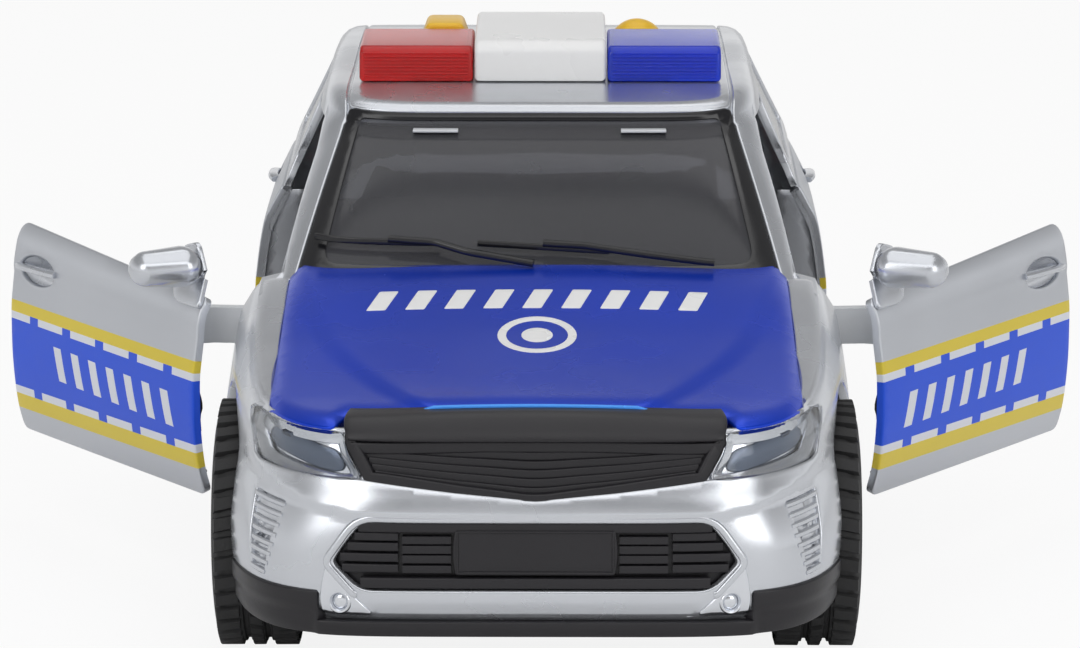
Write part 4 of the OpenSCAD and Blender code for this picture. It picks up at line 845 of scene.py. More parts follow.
# %% Outline of the front moulding
def bumper_relief(point):
    x, y, z = np.abs(point[..., 0]), point[..., 1], point[..., 2]
    crease = np.interp(x, (0, 28, 35, 41, 46, 48), (32.9, 33.3, 34.4, 36.0, 37.6, 38.2))
    over = z - crease
    band = 0.65 * soft_step(over, -0.45, 0.35) * (1 - soft_step(over, 0.6, 6.0))
    seam = 0.3 * np.exp(-((z - 18.4) / 0.35) ** 2) * (x < 26)
    return (band - seam) * soft_step(-y, 97, 109) - 0.2


front_form = lifted(ring, bumper_relief)


def inset_place(x, y, half, reach, power):
    x, y = pair(x, y)
    low, high = np.zeros(x.shape), np.full(x.shape, 30.0)
    for _ in range(40):
        w = (low + high) / 2
        outside = np.abs(x / (half - w)) ** power + np.abs(y / (reach - w)) ** power > 1
        high = np.where(outside, w, high)
        low = np.where(outside, low, w)
    return round_angle(x, y, half - low, reach - low, power), low


def deck_place(x, y):
    t, w = inset_place(x, y, body_half(1), body_reach(1), corner_power(1))
    return np.stack([np.interp(t, ring_angles, ring_run), RING_TOP + w], -1)


FRONT_AXLE, REAR_AXLE, AXLE_Z = -79.0, 77.0, 20.8
DOOR_FRONT = -45.0
front_arch = arc((FRONT_AXLE, AXLE_Z), 24.0, 178.5, -10.4, 40)
SKIRT_LINE = 21.4
door_edge = [(DOOR_FRONT, z) for z in np.linspace(18, 54.5, 26)]
wing_line = [(46.5, DOOR_FRONT), (43.6, DOOR_FRONT), (43.6, -60), (43.6, -80), (43.6, -99), (44.6, -104.5)]
lower_front = np.concatenate([
    on_nose([(0, 16.45), (33.6, 16.45), (34.4, 17.2), (34.4, 20.8)]),
    on_nose([(35.0, SKIRT_LINE), (40, SKIRT_LINE), (45, SKIRT_LINE)]),
    on_side([(-113, SKIRT_LINE), (-108, SKIRT_LINE), (-104, SKIRT_LINE)]),
    on_side(front_arch),
    on_side([(-54, 16.45), (DOOR_FRONT - 1.5, 16.45), *door_edge]),
    deck_place(*np.array(wing_line).T),
    on_nose([(46.9, 45.6), (46.6, 43), (45.6, 39.6), (44.6, 39.0), (38, 38.9), (30.5, 39.0)]),
    on_nose([(26.4, 38.7), (13, 37.2), (0, 35.9)]),
])
INTAKE_ROUND = [2.5, 2.5, 1.2, 2.5, 2.5, 1.2]
intake_hole = on_nose(rounded_loop([(-28.3, 21.2), (28.3, 21.2), (33.0, 26), (28.2, 33.0), (-28.2, 33.0),
                                    (-33.0, 26)], INTAKE_ROUND))
fog_hole = on_nose(rounded_loop([(26.4, 17.6), (33.6, 17.6), (34.0, 20.0), (33.0, 24.6)], 0.9))
vent_corners = [(46.4, 22.6), (43.9, 21.9), (39.9, 34.7), (45.5, 35.2)]
vent_hole = on_nose(rounded_loop(vent_corners, 0.7))
front_holes = [intake_hole, fog_hole, mirrored(fog_hole), vent_hole, mirrored(vent_hole)]
front_moulding = skin("front_moulding", front_form, both_sides(lower_front), front_holes, silver, step=1.1,
                      thick=1.5, roll=0.4)
dress(front_moulding, "car", "silver_paint", "body_shell")

# %% [markdown]
# ## The bonnet
#
# A blue panel between the wings. Two folds run from the screen pillars and draw together towards the
# nose; between them the panel is raised. At the nose it curls down, and a bar of lighter blue marks its
# edge above the grille: the same blue paint, made lighter as a painted highlight where the curl meets the
# light.

# %% Bonnet
LIP_DEPTH = 5.0
fold_half = through([(-119, 14), (-102.6, 24.5), (-80, 34.6), (-48, 42.0)])


def bonnet_front(x):
    return 0.4 - body_reach(1) * other_side(x / body_half(1), corner_power(1))


def lip_line(x):
    return bonnet_front(x) + LIP_DEPTH * (1 - soft_step(np.abs(x), 30.3, 32.6))


def bonnet_form(x, y):
    field = 0.9 * soft_step(fold_half(y) - np.abs(x), -1.6, 1.6)
    lead = np.clip(y - lip_line(x), 0, LIP_DEPTH)
    lip = 0.8 * (1 - lead / LIP_DEPTH) ** 2
    edge = 0.8 * np.clip((np.abs(x) - 40.5) / 2.7, 0, 1) ** 2
    return np.stack([x, y, deck_top(x, y) + 0.6 + field - lip - edge], -1)


side = np.concatenate([np.linspace(43.2, 34, 12), np.linspace(33.2, 29.8, 9), np.linspace(29, 0, 24)])
bonnet_half_line = [(0, -47.0), (20, -46.6), (34, -45.0), (43.0, -43.5)]
bonnet_half_line += [(x, float(lip_line(x))) for x in side]
bonnet_loop = both_sides(bonnet_half_line)[::-1]
bonnet = skin("bonnet_panel", bonnet_form, bonnet_loop, (), deep_blue, step=1.2, thick=1.4, roll=0.45)
dress(bonnet, "car", "blue_paint", "bonnet")
lip_x = np.linspace(-30, 30, 49)
# The lip bar gets the lighter blue, a painted highlight on the bonnet's blue paint.
bonnet_lip = bars("bonnet_lip", [lifted(bonnet_form, 0.1)(lip_x, lip_line(lip_x) + 0.2)], 0.9, 0.9, 0.4,
                  blue_lip_highlight)
dress(bonnet_lip, "car", "blue_paint", "bonnet")

# %% [markdown]
# A plain print sits on the bonnet: a row of slanted bars, and a ring round a dot. Each mark is its own
# thin skin, laid a hair above the paint, so that its edge stays crisp at any distance.

# %% Print on the bonnet
BAR_COUNT, BAR_SPACING = 9, 6.6
BAR_FRONT, BAR_REAR = -67.5, -59.5
RING_Y, ROUND_STRETCH = -79.5, 1.25
print_place = lifted(bonnet_form, 0.1)
outlines = []
for k in range(BAR_COUNT):
    middle = (k - (BAR_COUNT - 1) // 2) * BAR_SPACING
    bar = [(middle - 2.6, BAR_FRONT), (middle + 0.6, BAR_FRONT), (middle + 2.6, BAR_REAR),
           (middle - 0.6, BAR_REAR)]
    outlines.append((f"bar_{k}", rounded_loop(bar, 0.3), (), 1.4))
big, hole, dot = (oval_loop((0, RING_Y), r, r * ROUND_STRETCH) for r in (6.6, 5.2, 2.6))
outlines += [("ring", big, [hole], 1.2), ("dot", dot, (), 1.2)]
marks = [skin(f"bonnet_{name}", print_place, loop, holes, white_plastic, step=step, thick=0.08, roll=0.03)
         for name, loop, holes, step in outlines]
dress(joined("bonnet_print", marks), "car", "white_plastic", "bonnet")

# %% [markdown]
# ## The body behind the panels
#
# Under the outer panels a moulded body has door jambs, sills, wheel wells and window frames. The packed
# shell has them all, so a copy of its mesh is merged, drawn in a little along its normals and shaded
# smooth. What shows of it between two panels then looks like a moulded groove.

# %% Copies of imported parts
@contextmanager
def edited(mesh):
    work = bmesh.new()
    work.from_mesh(mesh)
    yield work
    work.to_mesh(mesh)
    work.free()


def merge_close(work, distance):
    bmesh.ops.remove_doubles(work, verts=work.verts, dist=distance * MM)
    bmesh.ops.dissolve_degenerate(work, edges=work.edges, dist=0.005 * MM)


def node_copy(node, name, inset=0.0, merge=0.02, flat=0.0):
    source = [o for o in bpy.data.objects if o.name == node or o.get("node") == node][0]
    mesh = source.data.copy()
    mesh.name = name
    mesh.materials.clear()
    with edited(mesh) as work:
        merge_close(work, merge)
        if flat:
            bmesh.ops.dissolve_limit(work, angle_limit=math.radians(flat), verts=work.verts,
                                     edges=work.edges)
        work.normal_update()
        moves = [v.normal * inset * MM for v in work.verts]
        for vert, move in zip(work.verts, moves):
            vert.co -= move
    smooth(mesh, 35)
    return in_scene(name, mesh)


body_core = node_copy("body_shell", "body_core", inset=0.6)
body_core.data.materials.append(silver)
dress(body_core, "car", "silver_paint", "body_shell")
print("body core:", len(body_core.data.polygons), "faces")

# %% [markdown]
# ## Upper grille
#
# A black plate sunk under the bonnet's edge, with slats that follow its sloping lower edge and a heavy
# bar along the top. The slats are one path each, swept by the bar tree. A frame runs round the plate, and
# a cap closes the top.

# %% Upper grille
def nose_path(points, depth=0.0, step=1.5):
    points = np.array(points, float)
    dense = [points[0]]
    for a, b in zip(points, points[1:]):
        n = max(1, math.ceil(np.linalg.norm(b - a) / step))
        dense.extend(a + (b - a) * k / n for k in range(1, n + 1))
    u, v = on_nose(dense).T
    return lifted(ring, -depth)(u, v)


def grille_foot(x):
    return 36.9 + 2.7 * soft_step(np.abs(x), 2, 30) - 0.6 * np.exp(-(x / 4.5) ** 2)


grille_x = np.linspace(-26.4, 26.4, 41)
grille_top = [(30.2, 46.2), (15, 46.6), (0, 46.7), (-15, 46.6), (-30.2, 46.2)]
grille_edge = [(x, float(grille_foot(x))) for x in grille_x] + grille_top
grille_plate = skin("upper_grille_plate", lifted(ring, -1.9), on_nose(grille_edge), (), black_plastic,
                    step=1.6, thick=0.9, roll=0.2)
slat_paths = []
for k in range(5):
    share = 0.13 + 0.135 * k
    half = 25.2 + 3.4 * share
    xs = np.linspace(-half, half, 45)
    zs = grille_foot(xs * 26.4 / 30) * (1 - share) + 46.4 * share
    slat_paths.append(nose_path(np.stack([xs, zs], -1), 1.05))
slats = bars("upper_grille_slats", slat_paths, 0.78, 1.5, 0.3, black_plastic)
brow_x = np.linspace(-29.4, 29.4, 45)
brow_line = np.stack([brow_x, 44.6 - 0.5 * soft_step(np.abs(brow_x), 6, 30)], -1)
brow = bars("upper_grille_brow", [nose_path(brow_line, 0.75)], 1.5, 2.0, 0.45, black_plastic)
frame_line = nose_path([*grille_edge, grille_edge[0]], 0.7)[:-1]
grille_rim = bars("upper_grille_rim", [frame_line], 1.25, 2.2, 0.4, black_plastic, closed=True)
cap_x = np.linspace(-29.6, 29.6, 40)
cap_front = on_nose(np.stack([cap_x, np.full(40, 45.2)], -1))
cap_back = deck_place(cap_x, lip_line(cap_x) + 0.9)
brow_cap = skin("upper_grille_cap", lifted(ring, 0.85), np.concatenate([cap_front, cap_back[::-1]]), (),
                black_plastic, step=1.2, thick=0.7, roll=0.3)
upper_grille = joined("upper_grille_set", [grille_plate, slats, brow, grille_rim, brow_cap])
dress(upper_grille, "car", "black_plastic", "upper_grille")

# %% [markdown]
# ## Lower grille
#
# The intake is a flat hexagon with a blank plate in the middle. Its slats stand in fields that are set
# off from one another, between two long bars that run right across. A silver lip follows its sides and
# its top.

# %% Lower grille
intake_edge = rounded_loop([(-28.0, 21.5), (28.0, 21.5), (32.6, 26), (27.9, 32.7), (-27.9, 32.7),
                            (-32.6, 26)], INTAKE_ROUND)
intake_plate = skin("lower_grille_plate", lifted(ring, -2.2), on_nose(intake_edge), (), black_plastic,
                    step=1.6, thick=1.0, roll=0.2)


def intake_half(z):
    return float(np.interp(z, (21.5, 26, 32.7), (28.2, 32.4, 28.0)))


field_paths = []
for s in (-1, 1):
    for z in (25.1, 26.9, 28.7, 30.4):
        field_paths.append(nose_path([(s * 21.9, z), (s * (intake_half(z) - 0.6), z)][::s], 1.3))
    for z in (24.9, 26.6, 28.2, 29.8):
        field_paths.append(nose_path([(s * 13.4, z), (s * 21.2, z)][::s], 1.5))
fields = bars("lower_grille_slats", field_paths, 1.05, 1.4, 0.25, black_plastic)
long_paths = [nose_path([(-half, z), (half, z)], 0.9) for half, z in ((27.9, 22.8), (28.2, 32.0))]
long_bars = bars("lower_grille_bars", long_paths, 1.3, 1.8, 0.4, black_plastic)
plate_loop = on_nose(rounded_box(-12.6, 12.6, 24.4, 31.5, 0.5))
plate_face = skin("number_plate", lifted(ring, -0.35), plate_loop, (), black_plastic, step=2.0, thick=1.4,
                  roll=0.25)
plate_line = nose_path([(-12.4, 24.6), (12.4, 24.6), (12.4, 31.3), (-12.4, 31.3), (-12.4, 24.6)], 0.3)[:-1]
plate_edge = bars("plate_edge", [plate_line], 0.35, 0.35, 0.12, black_plastic, closed=True)
lower_grille = joined("lower_grille_set", [intake_plate, fields, long_bars, plate_face, plate_edge])
dress(lower_grille, "car", "black_plastic", "lower_grille")
lip_edge = rounded_loop([(-29.0, 20.9), (-33.7, 26), (-28.6, 33.3), (28.6, 33.3), (33.7, 26), (29.0, 20.9)],
                        [0.5, 1.4, 3, 3, 1.4, 0.5])
intake_lip = bars("intake_lip", [nose_path(lip_edge, 0.35)], 1.25, 1.3, 0.5, silver)
dress(intake_lip, "car", "silver_paint", "body_shell")

# %% [markdown]
# ## Headlamps
#
# Behind a clear cover lies a silver bowl with a dark, smoky middle. The cover follows the corner of the
# wing, so it is made as a skin on the ring. The bowl and the dark middle are skins too, each a little
# deeper.

# %% Headlamps
lamp_edge = [(28.4, 39.3), (31.5, 38.9), (35, 39.1), (40, 39.4), (45.2, 39.8), (46.4, 42.5), (46.8, 46.0),
             (44.5, 46.3), (38, 46.1), (31.4, 46.2)]
dark_edge = [(31.2, 40.4), (34.0, 40.0), (36.2, 40.3), (40.0, 40.9), (44.6, 41.6), (44.9, 44.6),
             (41.5, 45.1), (36.2, 43.9), (32.6, 43.3)]
for s, title in SIDES:
    edge = on_nose(rounded_loop(lamp_edge, 0.9))
    inner = on_nose(rounded_loop([(x + 0.5 if x < 33 else x - 0.45, z) for x, z in lamp_edge], 0.9))
    dark = on_nose(rounded_loop(dark_edge, 1.2))
    edge, inner, dark = sided(s, edge, inner, dark)
    cover = skin(f"headlamp_cover_{title}", lifted(ring, -0.1), edge, (), clear_plastic, step=1.2,
                 thick=0.7, roll=0.3)
    dress(cover, "car", "clear_plastic", f"headlamp_lens_{title}")
    bowl = skin(f"bowl_{title}", lifted(ring, -2.9), inner, (), bright_plate, step=1.4, thick=0.8, roll=0.2)
    smoke = skin(f"smoke_{title}", lifted(ring, -2.4), dark, (), lamp_dark, step=1.4, thick=0.6, roll=0.3)
    wall_u, wall_v = spaced(inner, 0.8).T
    rim = bars(f"bowl_rim_{title}", [lifted(ring, -1.9)(wall_u, wall_v)], 0.5, 2.0, 0.2, bright_plate,
               closed=True)
    lamp = joined(f"headlamp_bowl_{title}", [bowl, smoke, rim])
    dress(lamp, "car", "bright_plating", f"headlamp_reflector_{title}")

# %% [markdown]
# ## Fog lamps and vents
#
# Each lower corner of the nose has a bright three-sided surround with a small round lamp low in it, and
# above, a wedge of short ribs. The surround is a skin with a hole, the lamp a turned dome, and the ribs
# are paths for the bar tree.

# %% Turned shapes
def turned(name, profile, place, axis, material, segments=48, sharp=35):
    axis = unit(np.array(axis, float))
    side = unit(np.cross(axis, (0.31, 0.17, 0.93)))
    up = np.cross(axis, side)
    points, faces, rows = [], [], []
    for radius, along in profile:
        if radius < 1e-6:
            rows.append([len(points)])
            points.append(np.array(place) + axis * along)
            continue
        rows.append(list(range(len(points), len(points) + segments)))
        for k in range(segments):
            a = 2 * math.pi * k / segments
            points.append(np.array(place) + axis * along + radius * (side * math.cos(a) + up * math.sin(a)))
    for low, high in zip(rows, rows[1:]):
        for k in range(segments):
            a, b = low[k % len(low)], low[(k + 1) % len(low)]
            c, d = high[(k + 1) % len(high)], high[k % len(high)]
            face = [a, b, c, d]
            if len(low) == 1:
                face = [a, c, d]
            if len(high) == 1:
                face = [a, b, c]
            faces.append(face)
    return mesh_object(name, points, faces, material, sharp=sharp)


FOG_RING = [(1.3, -1.6), (1.3, -0.3), (1.5, 0.05), (1.75, 0.1), (1.95, -0.1), (2.0, -0.5), (1.9, -1.6),
            (1.3, -1.6)]
dome_rise = np.linspace(0.15, math.pi / 2, 7)[:-1]
FOG_DOME = [(0, -1.6), (1.3, -1.6), (1.3, -0.75)]
FOG_DOME += [(1.3 * math.cos(a), -0.75 + 0.6 * math.sin(a)) for a in dome_rise] + [(0, -0.15)]
print("fog lamp profiles:", len(FOG_RING), "and", len(FOG_DOME), "points")

# %% [markdown]
# Left and right are made by the same loop. A point on the nose is mirrored by changing the sign of one
# measure, so nothing has to be modelled twice.

# %% Fog lamps and vents
fog_edge = rounded_loop([(26.2, 17.5), (33.9, 17.5), (34.2, 20.2), (33.3, 25.2)], [0.6, 0.8, 0.8, 0.5])
fog_parts = []
FOG_X, FOG_Z = 31.3, 19.6
for s in (1, -1):
    edge, eye = sided(s, on_nose(fog_edge), on_nose(oval_loop((FOG_X, FOG_Z), 1.75, 1.75, 24)))
    place = (s * FOG_X, float(end_y(FOG_X, FOG_Z)), FOG_Z)
    ahead = (s * 0.32, -1, 0.02)
    fog_parts.append(skin(f"fog_surround_{s}", lifted(ring, 0.1), edge, [eye], bright_plate, step=0.8,
                          thick=1.2, roll=0.3))
    for name, profile in (("ring", FOG_RING), ("dome", FOG_DOME)):
        fog_parts.append(turned(f"fog_{name}_{s}", profile, place, ahead, bright_plate, 36))
fog_set = joined("fog_lamp_set", fog_parts)
dress(fog_set, "car", "bright_plating", "fog_lamps")
rib_paths = []
for s in (1, -1):
    for z in np.linspace(34.2, 23.0, 8):
        inner = np.interp(z, (21.9, 34.7), (43.9, 39.9)) + 0.15
        outer = np.interp(z, (22.6, 35.2), (46.3, 45.4)) - 0.1
        path = [(inner, z - 0.35), (outer, z)]
        u, v = on_nose(np.linspace(*path, 7)).T
        rib_paths.append(lifted(ring, -0.45)(u * s, v))
vent_ribs = bars("vent_ribs", rib_paths, 0.75, 0.9, 0.28, silver)
dress(vent_ribs, "car", "silver_paint", "body_shell")

# %% [markdown]
# ## Skirts
#
# A black skirt hangs under each bumper: a low lip in the middle, stepping up at the corners to meet the
# wheel arches. Halfway up, the corners have a small ledge, and the part below it lies deeper.

# %% Skirts
def skirt_form(u, z):
    u, z = pair(u, z)
    t = np.interp(u, ring_run, ring_angles)
    x, y = oval(t, body_half(0.134), body_reach(0.134), corner_power(0.0))
    return np.stack([x, y, z], -1)


def skirt_relief(point):
    corner = soft_step(np.abs(point[..., 0]), 34.8, 36.0)
    under = 1 - soft_step(point[..., 2], 17.9, 18.5)
    toe = 1 - soft_step(point[..., 2], 14.0, 15.2)
    return -0.05 - 0.55 * corner * under - 0.5 * toe


def skirt_u(x=None, y=None):
    half, reach, power = body_half(0.134), body_reach(0.134), corner_power(0.0)
    if x is None:
        x = half * other_side(y / reach, power)
    else:
        y = -reach * other_side(x / half, power)
    return float(np.interp(round_angle(x, y, half, reach, power), ring_angles, ring_run))


def skirt_loop(end):
    step_u, end_u = skirt_u(x=34.9), skirt_u(y=end)
    return both_sides([(0, 14.1), (step_u - 4, 14.1), (step_u, 14.1), (end_u, 14.1), (end_u, 20.9),
                       (step_u + 0.3, 20.9), (step_u + 0.3, 16.1), (0, 16.1)])


skirt_place = lifted(skirt_form, skirt_relief)


def rear_of(place):
    def turned_round(u, v):
        return place(u, v) * np.array([-1.0, -1.0, 1.0])
    return turned_round


for end, place, reach in (("front", skirt_place, -103.2), ("rear", rear_of(skirt_place), -101.4)):
    skirt = skin(f"{end}_skirt_moulding", place, skirt_loop(reach), (), black_plastic, step=0.9, thick=1.9,
                 roll=0.3)
    dress(skirt, "car", "black_plastic", f"{end}_skirt")

# %% [markdown]
# ## The cabin's form
#
# The cabin is walked round in the same way as the body: one measure runs round it from the middle of the
# windscreen, the other climbs the pillars, turns over the roof's rounded edge and goes inwards over the
# roof.

# %% Cabin coordinates
PILLAR = 22.0
ROOF_ROUND = 3.0
ROOF_EDGE = PILLAR + ROOF_ROUND * math.pi / 2
CABIN_POWER = 7.0
roof_z = through([(-12, 79.3), (6, 80.8), (43, 80.8), (77, 79.216), (98, 76.4)])


def cabin_half(g):
    return 48.3 - 8.3 * g


def cabin_middle(g):
    return (61.0 + 25.0 * g) / 2


def cabin_reach(g):
    return (167.0 - 57.0 * g) / 2


def cabin_z(y, g):
    return deck_z(y) + (roof_z(y) - ROOF_ROUND - deck_z(y)) * g


def cabin_x(y, g):
    return cabin_half(g) * other_side((y - cabin_middle(g)) / cabin_reach(g), CABIN_POWER)


def cabin_y(x, g, s):
    return cabin_middle(g) + s * cabin_reach(g) * other_side(x / cabin_half(g), CABIN_POWER)


def side_share(y, z):
    return (z - deck_z(y)) / (roof_z(y) - ROOF_ROUND - deck_z(y))


cabin_loop = oval(ring_angles, cabin_half(0.5), cabin_reach(0.5), CABIN_POWER)
cabin_run = np.concatenate([[0], np.cumsum(np.hypot(*np.diff(cabin_loop)))])
cabin_run -= np.interp(0, ring_angles, cabin_run)


def over_edge(v):
    g = np.minimum(v / PILLAR, 1)
    turn = np.clip((v - PILLAR) / ROOF_ROUND, 0, math.pi / 2)
    return g, turn, ROOF_ROUND * (1 - np.cos(turn)) + np.maximum(v - ROOF_EDGE, 0)


def cabin(u, v):
    u, v = pair(u, v)
    t = np.interp(u, cabin_run, ring_angles)
    g, turn, inward = over_edge(v)
    x, y = oval(t, cabin_half(g) - inward, cabin_reach(g) - inward, CABIN_POWER)
    y = y + cabin_middle(g)
    return np.stack([x, y, cabin_z(y, g) + ROOF_ROUND * np.sin(turn)], -1)


def cabin_place(x, y, g):
    t = round_angle(x, y - cabin_middle(g), cabin_half(g), cabin_reach(g), CABIN_POWER)
    return np.stack([np.interp(t, ring_angles, cabin_run), PILLAR * g], -1)


def on_cabin_side(points):
    y, g = np.array(points, float).T
    return cabin_place(cabin_x(y, g), y, g)


def at_width(x, v, s):
    v = np.asarray(v, float)
    g, _, inward = over_edge(v)
    t = np.degrees(np.arcsin(np.minimum(1, (x / (cabin_half(g) - inward)) ** (CABIN_POWER / 2))))
    return np.stack([np.interp(t if s < 0 else 180 - t, ring_angles, cabin_run), v], -1)


def on_roof(x, y):
    half, reach = cabin_half(1) - ROOF_ROUND, cabin_reach(1) - ROOF_ROUND
    t, w = inset_place(x, y - cabin_middle(1), half, reach, CABIN_POWER)
    return np.stack([np.interp(t, ring_angles, cabin_run), ROOF_EDGE + w], -1)


print("cabin half way round:", round(float(np.interp(180, ring_angles, cabin_run)), 1), "mm")

# %% [markdown]
# ## Side frames and roof
#
# Each side frame is one silver skin: screen pillar, roof rail, centre pillar and the posts round the rear
# windows. The roof plate lies between the two frames and curls down at both ends, so a groove runs along
# each rail.

# %% Side frames
ROOF_SEAM = 35.3
SCREEN_SHARE, TAIL_SHARE = 0.885, 0.805
heights = np.linspace(0, 21.2, 14)
arc_heights = np.linspace(21.6, ROOF_EDGE + 0.2, 7)


def door_line(y, z):
    return [(a, float(side_share(a, b))) for a, b in zip(y, z)]


rail = arc((-2.04, 74.1), 2.35, 117, 90, 4) + arc((20.9, 74.1), 2.35, 90, 0, 5)
pillar_line = np.linspace((-45.3, 54.7), (-4.2, 75.4), 12)
window_line = [tuple(p) for p in pillar_line] + rail + [(23.3, 66.0), (23.3, 58.6)]
frame_foot = np.concatenate([
    at_width(SCREEN_SHARE * cabin_half(0.02), [0.5], -1),
    on_cabin_side([(-45.6, 0.02)]),
    on_cabin_side(door_line(*np.array(window_line).T)),
    on_cabin_side([(y, 0.012) for y in np.linspace(24, 104, 40)]),
])
tail_edge = np.concatenate([at_width(TAIL_SHARE * cabin_half(v / PILLAR), [v], 1) for v in heights + 0.3])
tail_arc = at_width(ROOF_SEAM, arc_heights, 1)
roof_side = on_roof(ROOF_SEAM, np.linspace(85.4, 0.6, 36))
screen_arc = at_width(ROOF_SEAM, arc_heights[::-1], -1)
screen_edge = np.concatenate([at_width(SCREEN_SHARE * cabin_half(v / PILLAR), [v], -1)
                              for v in heights[:0:-1]])
frame_loop = np.concatenate([frame_foot, tail_edge, tail_arc, roof_side, screen_arc, screen_edge])
LOW, HIGH = 0.085, 0.955
WINDOW_RISE = 19.0


def window_hole(corners, radius):
    y, g = np.array(corners, float).T
    flat = rounded_loop(np.stack([y, g * WINDOW_RISE], -1), radius)
    return on_cabin_side(np.stack([flat[:, 0], flat[:, 1] / WINDOW_RISE], -1))


rear_light = window_hole([(29.7, LOW), (77.3, LOW), (69.3, HIGH), (29.7, HIGH)], 2.0)
quarter_light = window_hole([(84.7, LOW), (98.3, LOW), (86.3, HIGH), (76.7, HIGH)], 1.6)
for s, title in SIDES:
    outline, *holes = sided(s, frame_loop, rear_light, quarter_light)
    side_frame = skin(f"side_frame_{title}", lifted(cabin, -0.05), outline, holes, silver, step=1.3,
                      thick=1.3, roll=0.35)
    dress(side_frame, "car", "silver_paint", "body_shell")

# %% [markdown]
# The roof plate is one sheet with its own two measures: across the car, and along it over both rounded
# ends. A form of its own keeps its triangles even, where the walk round the cabin would crowd them in the
# middle.

# %% Roof plate
def roof_form(x, q):
    x, q = pair(x, q)
    flat_start, flat_end = 5.372, 109.372

    def end(run, s):
        v = 21.34 + run
        g, turn, inward = over_edge(np.minimum(v, ROOF_EDGE))
        y = cabin_middle(g) + s * (cabin_reach(g) - inward) * other_side(x / (cabin_half(g) - inward),
                                                                         CABIN_POWER)
        return y, cabin_z(y, g) + ROOF_ROUND * np.sin(turn)

    front_y, front_z = end(np.clip(q, -0.5, flat_start), -1)
    rear_y, rear_z = end(np.clip(flat_start + flat_end - q, -0.5, flat_start), 1)
    share = np.clip((q - flat_start) / (flat_end - flat_start), 0, 1)
    y = np.where(q > flat_end, rear_y,
                 np.where(q < flat_start, front_y, front_y + (rear_y - front_y) * share))
    z = np.where(q > flat_end, rear_z, np.where(q < flat_start, front_z, roof_z(y)))
    return np.stack([x, y, z], -1)


roof_loop = rounded_box(-34.1, 34.1, 3.25, 114.5, 0.5)
roof_plate = skin("roof_plate", lifted(roof_form, -0.05), roof_loop, (), silver, step=1.6, thick=1.2,
                  roll=0.4)
dress(roof_plate, "car", "silver_paint", "body_shell")

# %% [markdown]
# ## Glazing
#
# The windscreen is a dark tinted panel with a black printed border. The border is its own thin skin with
# a window in it, laid on the glass, because a border painted by a texture would need its edges drawn
# twice. The rear window is made in the same way.

# %% Windscreen and rear window
SCREEN_HALF = 42.0


def screen_form(s):
    def place(share, v):
        share, v = pair(share, v)
        g, turn, inward = over_edge(v)
        x = -s * share / SCREEN_HALF * (cabin_half(g) - inward)
        y = cabin_y(x, g, s) - s * inward
        return np.stack([x, y, cabin_z(y, g) + ROOF_ROUND * np.sin(turn)], -1)
    return place


def screen_set(name, s, edge, foot, top, margin):
    place = screen_form(s)
    outer = rounded_box(-edge, edge, foot, top, 0.8)
    inner = rounded_loop([(margin - edge, foot + 2.2), (edge - margin, foot + 2.2),
                          (edge - margin * 0.75, top - 1.3), (margin * 0.75 - edge, top - 1.3)],
                         [2.2, 2.2, 1.6, 1.6])
    border = skin(f"{name}_border", lifted(place, -0.25), outer, [inner], gloss_black, step=1.5, thick=0.3,
                  roll=0.12)
    glass = skin(f"{name}_glass", lifted(place, -0.5), outer, (), tinted_glazing, step=1.6, thick=1.0,
                 roll=0.1)
    return border, glass


for name, s, share, foot, top, margin in (("windscreen", -1, 0.872, 0.9, 24.1, 3.0),
                                          ("rear_window", 1, 0.792, 1.2, 21.1, 2.6)):
    border, glass = screen_set(name, s, share * SCREEN_HALF, foot, top, margin)
    dress(border, "car", "gloss_black", name)
    dress(glass, "car", "tinted_glazing", name)
visor_paths = []
for s in (-1, 1):
    share = np.linspace(14.5, 22.5, 9) * s / 40 * SCREEN_HALF
    visor_paths.append(lifted(screen_form(-1), -0.15)(share, np.full(9, 21.2)))
visor_tabs = bars("visor_tabs", visor_paths, 2.4, 0.5, 0.2, pale_plastic)
dress(visor_tabs, "car", "white_plastic", "windscreen")

# %% [markdown]
# The rear side windows are plain tinted panes, set a little deeper than the side frames and a hair smaller
# than their openings, so a fine dark line shows round each.

# %% Side windows
SILL, HEAD = LOW + 0.02, HIGH - 0.02
PANES = (("rear_door", [(30.1, SILL), (76.9, SILL), (69.0, HEAD), (30.1, HEAD)], 1.6),
         ("quarter", [(85.1, SILL), (97.8, SILL), (86.1, HEAD), (77.2, HEAD)], 1.2))
for s, title in SIDES:
    panes = []
    for name, corners, radius in PANES:
        loop, = sided(s, window_hole(corners, radius))
        panes.append(skin(f"{name}_{title}", lifted(cabin, -0.55), loop, (), tinted_glazing, step=2.5,
                          thick=0.9, roll=0.15))
    glazing = joined(f"side_glazing_{title}", panes)
    dress(glazing, "car", "tinted_glazing", f"side_windows_{title}")

# %% [markdown]
# ## Paint with stripes
#
# The doors carry a printed band: blue between two yellow lines, with a row of white dashes inside each
# line. The print follows the side of the car, so it reads the piece's own map, where one unit is a
# hundred millimetres along the car or up. The rows run slightly downhill towards the tail. The middle of
# the band gets a few plain slanted bars.

# %% Striped finish
DASH_PITCH, STROKE_PITCH = 12.1, 6.4
PRINT_LOW, BLUE_LOW, BLUE_HIGH, PRINT_HIGH = 21.9, 24.8, 39.2, 41.4
STRIPE_TONES = (
    ((0.55, 0.57, 0.61), (0.61, 0.63, 0.67)),
    ((0.014, 0.085, 0.72), (0.018, 0.1, 0.8)),
    ((0.74, 0.58, 0.05), (0.8, 0.63, 0.07)),
    ((0.74, 0.77, 0.84), (0.8, 0.82, 0.88)),
)


